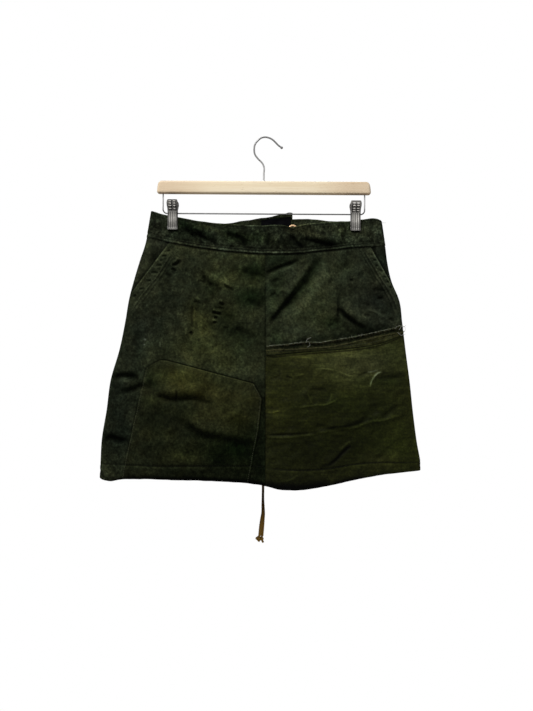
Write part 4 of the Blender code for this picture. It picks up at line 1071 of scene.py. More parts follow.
# What a colour is multiplied by is three numbers, or one for all three channels alike.
# Stains and faded patches, and among them painted shade under the waistband seam, above the raw edge and
# along the hem, and painted light on soft folds.
STAINS_AND_PAINTED_SHADING = {  # x, z of the middle, reach along x and z, what its colour is multiplied by
    "front_waistband": [
        (-125, -160, 34, 14, (0.8, 0.9, 0.8)),
        (-20, -172, 50, 14, (1.15, 1.15, 1)),
        (103, -176, 34, 8, (0.42, 0.46, 0.42)),
        (-52, -168, 22, 12, (0.6, 0.68, 0.6)),
        (30, -178, 30, 7, (0.6, 0.64, 0.6)),
        (60, -158, 30, 12, (1.2, 1.15, 1.05)),
        (118, -152, 20, 12, (1.35, 1.35, 1.25)),
        (165, -156, 40, 22, (1.6, 1.6, 1.5)),
        (-170, -150, 22, 20, (1.35, 1.35, 1.4)),
        (-108, -148, 22, 9, (1.3, 1.3, 1.1)),
        (-132, -178, 26, 9, (1.4, 1.38, 1.35)),
        (-192, -152, 8, 30, 1.4),
        (-64, -146, 26, 11, (0.62, 0.66, 0.6)),
        (-14, -164, 22, 12, (0.8, 0.88, 0.8)),
        (82, -150, 50, 7, (1.45, 1.42, 1.35)),
        (186, -166, 12, 16, (1.3, 1.3, 1.35)),
        (-138, -140, 9, 9, (0.7, 0.85, 0.72)),
        (130, -158, 10, 14, (1.15, 1.25, 1.15)),
        (-192, -150, 8, 34, 1.35),
        (-128, -178, 20, 8, (1.15, 1.15, 1.12)),
        (-64, -160, 14, 10, (0.85, 0.88, 0.85)),
        (60, -150, 34, 7, (1.25, 1.22, 1.15)),
        (184, -168, 14, 14, 1.2),
        (-24, -170, 30, 8, (0.85, 0.9, 0.85)),
        (-128, -146, 14, 6, (0.55, 0.68, 0.58)),
    ],
    "front_left": [
        (-62, -236, 44, 26, (1.4, 1.38, 1.05)),
        (-136, -190, 46, 12, (1.75, 1.73, 1.6)),
        (-182, -232, 14, 30, (1.2, 1.2, 1.25)),
        (-32, -200, 44, 8, (1.4, 1.38, 1.15)),
        (-14, -244, 14, 12, (1.35, 1.35, 1.15)),
        (-18, -297, 14, 10, (1.3, 1.3, 1.15)),
        (-104, -316, 22, 28, (1.6, 1.55, 1.25)),
        (-115, -278, 12, 13, (1.45, 1.42, 1.2)),
        (-100, -300, 30, 24, (1.15, 1.12, 0.95)),
        (-108, -350, 54, 22, (1.65, 1.6, 1.2)),
        (-64, -354, 30, 16, (1.25, 1.22, 1.05)),
        (-50, -290, 30, 18, (1.2, 1.18, 1)),
        (-14, -224, 24, 13, (0.45, 0.62, 0.48)),
        (-22, -268, 24, 14, (0.3, 0.46, 0.34)),
        (-104, -268, 16, 10, (0.75, 0.76, 0.76)),
        (-36, -328, 36, 14, (0.5, 0.57, 0.5)),
        (-62, -316, 26, 12, (0.72, 0.76, 0.7)),
        (-152, -230, 22, 18, (0.66, 0.68, 0.7)),
        (-150, -280, 34, 40, (0.8, 0.82, 0.86)),
        (-190, -314, 22, 24, (0.78, 0.8, 0.88)),
        (-210, -330, 24, 60, (0.76, 0.78, 0.88)),
        (-240, -420, 24, 60, (0.7, 0.74, 0.84)),
        (-236, -492, 32, 52, (0.52, 0.56, 0.64)),
        (-222, -556, 18, 8, (1.5, 1.5, 1.45)),
        (-60, -380, 60, 18, (1.25, 1.25, 1.05)),
        (-20, -350, 26, 18, (0.85, 0.9, 0.85)),
        (0, -450, 16, 50, (0.7, 0.75, 0.7)),
        (-6, -530, 22, 50, (0.4, 0.46, 0.4)),
        (-195, -370, 20, 12, (1.1, 1.1, 1.05)),
        (-86, -254, 11, 22, (0.7, 0.74, 0.7)),
        (-57, -299, 14, 9, (0.72, 0.75, 0.68)),
        (-118, -326, 8, 9, (0.75, 0.76, 0.74)),
        (-187, -350, 11, 10, (1.35, 1.35, 1.3)),
        (-116, -369, 14, 9, (1.4, 1.36, 1.2)),
        (-62, -376, 13, 10, (1.3, 1.28, 1.15)),
        (-38, -345, 9, 15, (0.8, 0.84, 0.8)),
        (-207, -402, 14, 8, (0.62, 0.66, 0.66)),
        (-240, -505, 24, 14, (0.72, 0.74, 0.74)),
        (-84, -202, 8, 6, (0.78, 0.8, 0.76)),
        (-2, -211, 10, 12, (1.3, 1.3, 1.2)),
        (-228, -560, 20, 6, (1.25, 1.25, 1.2)),
        (-214, -462, 22, 8, 0.8),
        (-3, -500, 10, 60, (0.7, 0.75, 0.7)),
        (-86, -254, 11, 20, (0.85, 0.87, 0.85)),
        (-55, -300, 14, 9, (0.85, 0.87, 0.82)),
        (-170, -232, 8, 30, (0.85, 0.87, 0.87)),
        (-205, -350, 6, 24, (0.75, 0.78, 0.78)),
        (-80, -330, 10, 12, (1.15, 1.13, 1.1)),
        (-100, -205, 14, 8, (1.12, 1.12, 1.1)),
        (-8, -205, 10, 8, (1.15, 1.15, 1.1)),
        (-240, -420, 16, 8, (0.75, 0.78, 0.78)),
        (-244, -508, 20, 12, (0.85, 0.86, 0.86)),
        (-270, -440, 8, 60, 1.2),
        (-8, -546, 14, 12, (0.6, 0.62, 0.6)),
        (-240, -531, 12, 6, (1.35, 1.35, 1.3)),
        (-208, -546, 10, 6, (1.35, 1.35, 1.3)),
        (-232, -482, 14, 8, (0.72, 0.75, 0.74)),
        (-6, -500, 12, 70, (0.72, 0.76, 0.72)),
        (-256, -552, 8, 6, (1.3, 1.3, 1.2)),
    ],
    "front_right_upper": [
        (88, -262, 54, 46, (1.12, 1.13, 1.06)),
        (74, -258, 26, 38, (1.2, 1.2, 1.15)),
        (98, -290, 28, 42, (1.42, 1.42, 1.25)),
        (108, -220, 20, 20, (1.25, 1.25, 1.15)),
        (14, -276, 11, 22, (1.35, 1.35, 1.2)),
        (60, -300, 36, 26, (1.12, 1.14, 1.02)),
        (14, -250, 18, 60, (0.66, 0.74, 0.66)),
        (24, -206, 34, 12, (0.62, 0.7, 0.64)),
        (176, -208, 18, 13, (0.72, 0.74, 0.78)),
        (185, -240, 20, 12, (1.2, 1.18, 1.15)),
        (185, -266, 34, 26, (0.6, 0.61, 0.7)),
        (190, -291, 20, 7, (1.3, 1.28, 1.2)),
        (195, -300, 30, 30, (0.8, 0.82, 0.9)),
        # Painted shadow above the raw edge.
        (150, -317, 36, 9, (0.58, 0.62, 0.6)),
        (138, -256, 16, 12, (0.82, 0.84, 0.84)),
        (112, -308, 18, 10, (0.5, 0.6, 0.5)),
        (133, -210, 16, 20, (0.85, 0.92, 0.86)),
        (20, -335, 14, 14, (1.1, 1.25, 1.05)),
        (180, -214, 12, 16, (0.72, 0.74, 0.72)),
        (160, -299, 10, 6, (1.35, 1.35, 1.3)),
        (22, -254, 9, 12, (0.76, 0.8, 0.76)),
        (44, -192, 34, 8, (0.7, 0.74, 0.7)),
        (66, -205, 10, 8, (1.2, 1.2, 1.15)),
        (42, -333, 10, 8, (1.25, 1.25, 1.2)),
        # Painted shadow above the raw edge.
        (160, -322, 40, 8, (0.75, 0.78, 0.75)),
        (30, -240, 10, 8, (1.15, 1.2, 1.15)),
        (100, -330, 14, 6, (0.8, 0.84, 0.8)),
        (45, -192, 40, 8, (0.75, 0.78, 0.75)),
        (100, -197, 10, 10, (0.75, 0.78, 0.75)),
        (22, -230, 14, 12, (0.82, 0.86, 0.82)),
        (76, -246, 8, 12, (0.8, 0.84, 0.8)),
        (52, -334, 20, 8, (1.25, 1.25, 1.2)),
        (14, -320, 8, 10, (0.8, 0.82, 0.8)),
        (86, -300, 10, 14, (1.12, 1.12, 1.1)),
    ],
    "front_right_lower": [
        (141, -394, 28, 26, (1.26, 1.21, 1.4)),
        (181, -377, 24, 15, (1.24, 1.2, 1.42)),
        (197, -533, 38, 15, (1.5, 1.38, 1.5)),
        (137, -503, 28, 16, (0.8, 0.8, 0.68)),
        (141, -471, 22, 16, (0.94, 0.94, 0.85)),
        (60, -532, 46, 15, (0.82, 0.83, 0.76)),
        (78, -480, 100, 50, (1, 1, 0.86)),
        (216, -406, 17, 30, (1.14, 1.15, 1.12)),
        (150, -368, 85, 40, (2.25, 2.2, 3)),
        (100, -356, 62, 14, (1.6, 1.56, 1.6)),
        (190, -352, 50, 20, (1.35, 1.35, 1.4)),
        (150, -410, 46, 24, (1.3, 1.32, 1.25)),
        (140, -430, 42, 18, (1.2, 1.2, 1.1)),
        (60, -385, 70, 26, (1.38, 1.35, 1.3)),
        (20, -440, 26, 30, (1.25, 1.2, 1.05)),
        (220, -360, 26, 30, (1.1, 1.16, 1.25)),
        (114, -436, 30, 14, (0.78, 0.84, 0.8)),
        (200, -402, 30, 8, (0.55, 0.62, 0.52)),
        (170, -444, 40, 22, (0.78, 0.84, 0.76)),
        (200, -494, 60, 34, (1.08, 1.14, 1)),
        (140, -470, 24, 12, (0.8, 0.84, 0.78)),
        (85, -512, 60, 26, (0.58, 0.6, 0.56)),
        (50, -478, 60, 12, (0.92, 0.88, 0.82)),
        (230, -470, 24, 80, (1.2, 1.2, 1.1)),
        (230, -520, 34, 30, (1.12, 1.18, 1)),
        (40, -556, 60, 9, 0.75),
        (122, -398, 44, 15, 1.15),
        (190, -379, 18, 8, 1.15),
        (182, -464, 17, 10, (0.74, 0.76, 0.72)),
        (8, -436, 9, 12, (1.35, 1.33, 1.25)),
        (80, -478, 110, 50, (0.96, 1, 0.86)),
        (228, -350, 9, 24, (1.35, 1.32, 1.25)),
        (60, -362, 80, 5, (1.35, 1.35, 1.3)),
        (150, -352, 60, 5, (1.2, 1.2, 1.15)),
        (180, -466, 14, 8, (0.85, 0.87, 0.85)),
        (150, -500, 24, 16, (0.88, 0.9, 0.86)),
        # Painted shade on the hem's lower edge.
        (40, -575, 60, 6, 0.5),
    ],
    "cargo_pocket": [
        (-142, -400, 34, 22, (2, 1.85, 1.35)),
        (-104, -412, 44, 22, (1.9, 1.75, 1.3)),
        (-122, -390, 52, 13, (1.5, 1.45, 1.2)),
        (-60, -440, 44, 34, (1.75, 1.6, 1.2)),
        (-108, -460, 34, 12, (1.3, 1.25, 1.05)),
        (-40, -465, 30, 18, (1.35, 1.25, 1)),
        (-20, -432, 18, 12, (1.45, 1.4, 1.15)),
        (-182, -400, 14, 18, (1.2, 1.25, 1.1)),
        (-183, -436, 20, 10, (1.75, 1.75, 1.45)),
        (-172, -450, 26, 14, (0.7, 0.74, 0.7)),
        (-168, -480, 40, 18, (0.66, 0.68, 0.64)),
        (-130, -450, 24, 12, (0.75, 0.76, 0.7)),
        (-178, -488, 26, 16, (1.15, 1.12, 1)),
        (-20, -476, 20, 20, (0.66, 0.7, 0.64)),
        (-114, -524, 34, 16, (1.2, 1.15, 0.95)),
        (-100, -508, 40, 14, (0.72, 0.74, 0.68)),
        (-64, -512, 30, 20, (0.6, 0.74, 0.6)),
        (-30, -515, 24, 30, (0.5, 0.62, 0.5)),
        (-95, -552, 110, 16, (0.42, 0.45, 0.42)),
        (-183, -514, 24, 14, (0.62, 0.64, 0.62)),
        (-60, -516, 60, 22, (0.7, 0.76, 0.7)),
        (-66, -530, 12, 10, (0.4, 0.42, 0.42)),
        (-150, -520, 26, 14, (1.3, 1.3, 1.15)),
        (-36, -405, 24, 10, (1.25, 1.23, 1.15)),
        (-42, -463, 12, 11, (0.68, 0.7, 0.64)),
        (-100, -495, 34, 13, (0.74, 0.76, 0.72)),
        (-176, -461, 22, 8, 0.85),
        (-18, -512, 14, 40, (0.72, 0.76, 0.72)),
        (-48, -487, 9, 8, (1.25, 1.22, 1.15)),
        (-164, -398, 10, 14, (0.75, 0.8, 0.78)),
        (-122, -424, 24, 7, (0.75, 0.74, 0.68)),
        (-186, -400, 8, 12, (0.72, 0.76, 0.74)),
        (-46, -466, 12, 10, (0.85, 0.86, 0.82)),
        (-110, -492, 26, 8, (0.85, 0.86, 0.84)),
        (-40, -404, 18, 9, (1.15, 1.14, 1.1)),
        (-150, -405, 14, 10, (1.12, 1.1, 1.08)),
        (-178, -436, 12, 8, (1.15, 1.15, 1.1)),
        (-149, -492, 12, 9, (1.55, 1.55, 1.35)),
        (-132, -524, 13, 9, (1.5, 1.5, 1.35)),
        (-182, -497, 9, 10, (1.25, 1.25, 1.2)),
        (-115, -529, 10, 8, (1.3, 1.3, 1.2)),
        (-86, -554, 6, 5, (1.6, 1.6, 1.4)),
        (-107, -554, 7, 5, (1.6, 1.6, 1.4)),
        (-134, -558, 8, 5, (1.6, 1.6, 1.4)),
        (-181, -555, 8, 5, (1.4, 1.4, 1.3)),
        (-165, -531, 14, 9, (0.7, 0.72, 0.7)),
        (-70, -527, 16, 11, (0.6, 0.68, 0.6)),
        (-42, -509, 12, 10, (0.65, 0.85, 0.65)),
        (-176, -464, 22, 9, (0.75, 0.78, 0.76)),
        (-90, -491, 16, 8, (0.75, 0.78, 0.74)),
        (-21, -550, 14, 12, (0.7, 0.74, 0.7)),
        (-158, -452, 12, 7, (1.2, 1.2, 1.1)),
    ],
    "pocket_facing_left": [
        (-200, -212, 16, 26, (1.3, 1.3, 1.25)),
        (-194, -181, 6, 5, (1.9, 1.9, 1.6)),
        (-196, -214, 6, 7, (1.6, 1.6, 1.5)),
        (-184, -196, 8, 10, (0.6, 0.62, 0.6)),
    ],
    "pocket_facing_right": [(196, -200, 12, 14, (0.8, 0.9, 0.85))],
    "back_left": [
        (-70, -250, 50, 40, (1.3, 1.28, 1.05)),
        (-150, -330, 44, 60, (0.82, 0.85, 0.85)),
        (-40, -360, 40, 30, (1.2, 1.18, 1)),
        (-110, -440, 60, 34, (1.15, 1.12, 0.95)),
        (-30, -500, 34, 36, (0.65, 0.72, 0.64)),
        (-220, -500, 36, 60, (0.7, 0.74, 0.8)),
    ],
    "back_right": [
        (60, -300, 56, 60, (1.2, 1.2, 1.05)),
        (170, -280, 40, 50, (0.82, 0.84, 0.86)),
        (120, -420, 70, 30, (1.12, 1.1, 1)),
        (24, -440, 26, 50, (0.75, 0.82, 0.74)),
        (200, -500, 50, 50, (0.75, 0.78, 0.84)),
    ],
}
# Scuffs, specks and pale wear, and among them painted shade along crease troughs, edges and the raw edge, and
# painted highlights on ridges and fold edges.
MARKS_AND_PAINTED_SHADING = {  # x, z along each mark, half width, what its colour is multiplied by
    "front_waistband": [
        # Painted shade in the creases' troughs and painted highlights on their ridges.
        (
            [(-139, -143), (-125, -151), (-112, -155), (-98, -160), (-85, -169), (-75, -177)],
            3.6,
            (0.35, 0.4, 0.36),
        ),
        ([(-112, -155), (-102, -165), (-92, -174)], 2.6, (0.4, 0.42, 0.4)),
        ([(-68, -155), (-52, -162), (-35, -172), (-24, -182)], 5, (0.4, 0.45, 0.4)),
        ([(-40, -172), (-30, -182)], 5, (0.6, 0.62, 0.6)),
        ([(-112, -146), (-90, -152), (-72, -159), (-58, -167)], 4, (1.7, 1.65, 1.5)),
        ([(-120, -172), (-108, -178)], 4, (1.3, 1.3, 1.25)),
        ([(42, -161), (52, -172), (61, -184)], 2.8, (0.4, 0.44, 0.4)),
        ([(52, -167), (75, -170), (98, -176), (121, -177)], 3.2, (0.4, 0.43, 0.4)),
        ([(60, -160), (80, -162), (104, -166)], 3.5, (1.4, 1.38, 1.3)),
        ([(-12, -156), (-13, -180)], 1.6, (1.5, 1.5, 1.45)),
        ([(-3, -158), (-4, -184)], 1.5, (1.45, 1.45, 1.4)),
        ([(11, -160), (9, -184)], 1.6, (1.4, 1.4, 1.35)),
        ([(-7, -164), (-8, -184)], 1.6, (0.55, 0.62, 0.56)),
        ([(4, -160), (3, -180)], 1.6, (0.6, 0.68, 0.6)),
        ([(69, -149), (75, -149.3)], 1.2, (0.35, 0.36, 0.35)),
        ([(94, -149), (106, -148.8)], 1.2, (0.45, 0.46, 0.45)),
        ([(78, -148), (92, -148)], 1.2, (1.3, 1.3, 1.25)),
    ],
    "front_left": [
        ([(-195, -280), (-194, -281)], 1.6, (3, 2.9, 3.2)),
        ([(-196, -335), (-196, -338)], 1.9, (7, 6.4, 9)),
        ([(-198, -344), (-197, -346)], 1.5, (6, 5.5, 7.5)),
        ([(-170, -340), (-171, -349)], 1.5, (3.4, 3.2, 3.6)),
        ([(-115, -281), (-115, -298), (-114, -314)], 2.4, (1.5, 1.48, 1.4)),
        ([(-82, -278), (-70, -288), (-56, -300)], 8, (0.66, 0.7, 0.64)),
        ([(-157, -185), (-184, -225), (-214, -266)], 5.5, (1.35, 1.35, 1.4)),
        ([(-123, -284), (-102, -308), (-80, -336)], 8, (1.25, 1.23, 1.15)),
        ([(-95, -197), (-86, -208), (-75, -221)], 5, (1.3, 1.28, 1.2)),
        # Painted shade in the folds' troughs.
        ([(-235, -425), (-214, -417), (-198, -411), (-180, -418)], 7, (0.65, 0.68, 0.68)),
        ([(-255, -399), (-236, -394), (-205, -397)], 5, (0.6, 0.66, 0.62)),
        ([(-264, -500), (-248, -497), (-235, -501), (-220, -499)], 5.5, (0.6, 0.62, 0.6)),
    ],
    "front_right_upper": [
        # Painted shade in the folds' troughs, and painted shadow along the raw edge.
        ([(92, -197), (84, -212), (72, -232), (58, -252), (44, -270), (30, -287)], 8, (0.5, 0.62, 0.52)),
        ([(50, -258), (36, -275), (22, -292), (10, -306)], 3.2, (0.55, 0.58, 0.55)),
        ([(8, -343), (60, -338), (118, -331), (160, -324), (217, -310)], 4.2, (0.5, 0.52, 0.5)),
        ([(57, -204), (35, -213), (22, -218), (3, -227)], 2.4, (0.6, 0.66, 0.62)),
        ([(121, -281), (131, -291), (140, -301), (154, -310), (170, -318)], 3, (0.6, 0.64, 0.6)),
        ([(178, -185), (190, -208), (206, -237)], 4.5, 1.2),
    ],
    "front_right_lower": [
        ([(195, -387), (186, -390), (180, -397), (176, -404), (174, -413)], 1.3, (4.7, 4.8, 10.5)),
        ([(168, -388), (178, -387), (188, -384)], 1, (2.7, 2.8, 5)),
        ([(71, -421), (75, -431), (79, -440)], 0.9, (1.5, 1.5, 1.7)),
        ([(81, -441), (104, -439), (117, -433), (125, -429)], 0.9, (1.55, 1.55, 1.7)),
        ([(111, -422), (107, -437)], 0.9, (1.45, 1.45, 1.6)),
        ([(56, -445), (81, -441)], 0.9, (1.3, 1.3, 1.4)),
        ([(86, -383), (98, -382), (114, -385)], 1.1, (1.5, 1.5, 1.6)),
        ([(128, -389), (140, -394), (155, -394)], 1, (1.25, 1.25, 1.3)),
        ([(52, -394), (66, -391)], 1, (1.4, 1.4, 1.5)),
        ([(4, -453), (17, -452), (27, -449)], 1.2, (1.7, 1.65, 1.6)),
        ([(36, -560), (46, -556), (56, -550)], 1.2, (1.8, 1.8, 1.9)),
        ([(124, -512), (133, -504), (142, -498)], 1.1, 1.5),
        ([(119, -498), (124, -510), (126, -518)], 1.1, (1.35, 1.35, 1.4)),
        ([(103, -538), (117, -528), (129, -516), (142, -506)], 1.6, (0.6, 0.6, 0.62)),
        ([(88, -486), (125, -481), (153, -477), (173, -470), (200, -465), (228, -457)], 1, 1.3),
        # Painted highlight down the side fold.
        ([(236, -345), (242, -404), (249, -454), (255, -504), (261, -560)], 6, (1.6, 1.58, 1.45)),
        ([(84, -483), (117, -476), (147, -473), (170, -465), (184, -461)], 1.8, (0.5, 0.52, 0.5)),
        ([(91, -542), (107, -533), (120, -525), (131, -514), (140, -504)], 2.4, (0.42, 0.44, 0.42)),
        ([(8, -478), (40, -477), (78, -477)], 1, 0.7),
        ([(12, -372), (30, -378), (50, -376)], 0.9, (1.3, 1.3, 1.4)),
        ([(20, -400), (40, -404), (66, -399)], 0.9, (1.25, 1.25, 1.35)),
        ([(60, -370), (84, -376), (104, -371)], 0.9, (1.25, 1.25, 1.35)),
        ([(8, -388), (24, -392), (40, -388), (52, -392)], 1, (0.75, 0.75, 0.72)),
        ([(94, -388), (120, -391), (136, -397), (160, -400), (176, -396)], 1, (0.7, 0.72, 0.7)),
        ([(100, -412), (130, -404), (160, -407), (180, -415)], 1, (0.75, 0.76, 0.72)),
        ([(116, -452), (150, -446), (186, -440), (205, -430)], 1.4, (0.72, 0.74, 0.7)),
        ([(60, -462), (96, -456), (120, -458)], 1.1, (0.76, 0.78, 0.74)),
        ([(20, -505), (56, -500), (90, -506)], 1.4, (0.76, 0.78, 0.74)),
        ([(120, -555), (136, -548), (150, -540)], 1.6, (1.3, 1.3, 1.2)),
        ([(150, -556), (164, -548), (176, -540)], 1.6, (0.75, 0.76, 0.72)),
        ([(166, -556), (180, -547), (192, -538)], 1.6, (1.3, 1.3, 1.2)),
        ([(188, -530), (210, -517), (232, -500), (246, -488)], 1.4, (1.3, 1.3, 1.2)),
        ([(178, -528), (200, -514), (222, -497)], 2, (0.78, 0.8, 0.75)),
    ],
    "cargo_pocket": [
        ([(-103, -493), (-87, -510)], 1.1, (1.9, 1.8, 1.9)),
        ([(-137, -391), (-139, -416)], 1.4, 0.75),
        ([(-92, -394), (-90, -434)], 1.6, 0.8),
        # Painted shade in the folds' troughs.
        ([(-176, -424), (-157, -428), (-141, -427), (-114, -424), (-90, -431)], 6, (0.55, 0.52, 0.42)),
        ([(-190, -402), (-182, -408), (-174, -410)], 4, (0.45, 0.5, 0.48)),
        (
            [(-139, -458), (-127, -469), (-113, -480), (-84, -489), (-55, -494), (-16, -501)],
            8,
            (0.66, 0.7, 0.64),
        ),
        ([(-50, -496), (-30, -501), (-10, -499)], 5, (0.55, 0.6, 0.55)),
    ],
}
# Painted shade in each crease's trough and painted highlight on its ridge: how strong it is, and its least
# and most.
CREASE_PAINTED_SHADING, CREASE_PAINTED_SHADING_RANGE = 1.7, (-1.3, 0.5)
LOW_GRAIN = [(-380.0, 1.0), (-430.0, 1.0), (-490.0, 1.15), (-575.0, 1.25)]  # z, its share towards the hem
GRAIN = {  # how strongly each cloth node is mottled
    "front_waistband": 1.55,
    "back_waistband_left": 1.4,
    "back_waistband_right": 1.4,
    "cargo_pocket": 0.85,
    "front_right_upper": 0.95,
    "label": 0.5,
}


@functools.cache
def wear_and_painted_shading_lines():
    """By node: lines along edges, seams and stitching, half width, what they multiply by: painted shadow in
    grooves and gaps, painted highlights on ridges and fold edges, and some wear.
    """
    seam = table_line(FRONT_SEAM, corner(LEFT, FRONT_SEAM)[0], corner(RIGHT, FRONT_SEAM)[0], 50)
    top = table_line(FRONT_TOP, corner(LEFT, FRONT_TOP)[0], corner(RIGHT, FRONT_TOP)[0], 50)
    hem = table_line(FRONT_HEM, corner(LEFT, FRONT_HEM)[0], corner(RIGHT, FRONT_HEM)[0], 50)
    yoke = table_line(YOKE_SEAM, YOKE_SEAM[0][0], YOKE_SEAM[-1][0], 30)
    narrow = table_line(NARROW_RAW_EDGE, NARROW_RAW_EDGE[0][0], NARROW_RAW_EDGE[-1][0], 30)
    wide = table_line(WIDE_RAW_EDGE, WIDE_RAW_EDGE[0][0], WIDE_RAW_EDGE[-1][0], 30)
    centre = np.array([(centre_front_x(z), z) for z in (-196.0, -567.5)])
    made = {
        "front_waistband": [
            # Painted highlight on the band's top edge and on the ridges above its seam, painted shade in the
            # grooves between them and in the seam.
            (lowered(top, 0.5), 1.5, (3.2, 3.2, 3.1)),
            (lowered(top, 3.4), 1.1, (0.5, 0.52, 0.5)),
            (lowered(seam, -3.4), 1.2, 3.0),
            (lowered(seam, -5.9), 1.0, 0.4),
            (lowered(seam, -8.0), 0.9, (1.8, 1.8, 1.7)),
            (lowered(seam, -10.2), 1.2, 0.55),
            (lowered(seam, -0.7), 1.4, 0.2),
            *clip_shadows(),
        ],
        # Painted highlights along the back waistbands' top edges.
        "back_waistband_left": [(table_line(BACK_TOP_LEFT, -180.0, LAP_END, 30), 1.2, (1.6, 1.6, 1.5))],
        "back_waistband_right": [(table_line(BACK_TOP_RIGHT, LAP_START, 190.0, 30), 1.2, (1.8, 1.8, 1.7))],
        "front_right_lower": [
            # Painted shade along the hem, darkest where it turns under near the centre front, painted shade
            # in the centre seam, and painted highlight and shade along the yoke's stitching.
            (lowered(hem, -1.0), 3.2, 0.4),
            (hem[hem[:, 0] > -8.0][:11] + [(0.0, 3.0)], 7.5, (0.05, 0.05, 0.06)),
            (hem[hem[:, 0] > -8.0][10:16] + [(0.0, 1.0)], 4.0, (0.15, 0.15, 0.16)),
            (centre, 1.0, 0.5),
            (lowered(yoke, 0.8), 0.95, (2.9, 2.9, 2.8)),
            (lowered(yoke, 2.6), 0.9, 0.4),
            (lowered(yoke, 6.0), 2.5, (1.3, 1.3, 1.25)),
        ],
        # Painted shadow under each raw edge.
        "raw_edge_narrow": [
            (lowered(narrow, 2.4), 1.0, 0.5),
        ],
        "raw_edge_wide": [
            (lowered(wide, 2.9), 1.5, 0.1),
            (lowered(wide, 5.0), 1.5, 0.5),
        ],
    }
    for node, side in (("front_left", LEFT), ("front_right_upper", RIGHT)):
        edge = opening_line(side)
        inwards = 1.0 if side == LEFT else -1.0
        made[node] = [
            # Painted shadow under the waistband seam, painted highlight beside the seam and on the opening's
            # edge, painted shade in the centre seam.
            (lowered(seam, 0.4), 1.4, 0.25),
            (lowered(seam, 3.2), 1.6, 1.35),
            (edge + [(1.0 * inwards, 0.0)], 1.3, 2.6),
            (centre, 1.2, (0.5, 0.54, 0.5)),
        ]
        # Painted highlight on each stitched ridge and painted shade beside it.
        for stitched, pale in zip(POCKET_STITCH[side], (2.8, 1.9)):
            line = smooth_line(stitched, 30)
            made[node].append((line, 0.9, pale))
            made[node].append((line + [(2.4 * inwards, 0.0)], 1.2, 0.4))
        # Painted shadow in each pucker and painted highlight below it.
        for ends in pucker_lines(node):
            made[node].append((ends, 1.6, (0.25, 0.27, 0.25)))
            made[node].append((lowered(ends, PUCKER_GAP), 1.5, (1.4, 1.4, 1.35)))
        # Painted shadow beside the opening and under the waistband seam.
        made[f"pocket_facing_{side}"] = [
            (edge - [(1.4 * inwards, 0.0)], 2.2, (0.25, 0.27, 0.27)),
            (lowered(seam, 1.0), 1.6, 0.3),
        ]
    outline = cargo_outline()
    # Painted shade along the hem, and painted shadow round the pocket's outline and under its open top.
    made["front_left"] += [
        (lowered(hem, -1.2), 4.2, (0.06, 0.06, 0.07)),
        (outline, 1.3, (0.35, 0.37, 0.35)),
        (lowered(finely(CARGO_TOP), -0.9), 1.2, (0.2, 0.22, 0.2)),
    ]
    left, upper, right = patch_edge(1.0)
    # Painted shade along the hem and in its stitching, and painted highlights on the pocket's edges and below
    # the stitching.
    made["cargo_pocket"] = [
        (lowered(hem, -1.2), 4.2, (0.06, 0.06, 0.07)),
        (lowered(finely(upper), 0.4), 0.9, (2.2, 2.2, 2.1)),
        (finely(left), 0.8, 1.9),
        (finely(right), 0.8, 1.8),
        (HEM_STITCH["front_left"], 1.2, 0.25),
        (lowered(HEM_STITCH["front_left"], 2.6), 1.3, (1.6, 1.6, 1.55)),
    ]
    # Painted shade in each hem's stitched groove and painted highlight below it.
    for node, line in HEM_STITCH.items():
        made.setdefault(node, []).append((line, 1.2, 0.25))
        made[node].append((lowered(line, 2.6), 1.3, (1.6, 1.6, 1.55)))
    return made


CLIP_SHADOW_DROP, CLIP_SHADOW_ASIDE, CLIP_SHADOW_START, CLIP_SHADOW_RISE = 1.7, 0.9, 1.5, 8.0


def clip_shadows():
    """The dark gaps under each front jaw's lip and beside it."""
    found = []
    for x in CLIP_X.values():
        low, aside = JAW[-1][1] - CLIP_SHADOW_DROP, LIP_WIDTH + CLIP_SHADOW_ASIDE
        found.append(([(x - LIP_WIDTH, low), (x, low), (x + LIP_WIDTH, low)], 1.4, 0.1))
        for edge in (x - aside, x + aside):
            beside = [(edge, low + CLIP_SHADOW_START), (edge, low + CLIP_SHADOW_RISE)]
            found.append((beside, 1.4, (0.3, 0.33, 0.3)))
    return found


def cargo_outline():
    """The cargo pocket's sewn outline, from the bottom of its left side round to that of its right."""
    return finely(np.concatenate([CARGO_LEFT[::-1], CARGO_TOP[1:], CARGO_RIGHT[1:]]), 160)


BARE_THREADS = {  # the raw edge, how far below it they show, what they multiply the colour by
    "raw_edge_wide": (WIDE_RAW_EDGE, 0.9, (6.0, 6.2, 7.6)),
    "raw_edge_narrow": (NARROW_RAW_EDGE, 1.1, (3.0, 2.8, 2.8)),
}


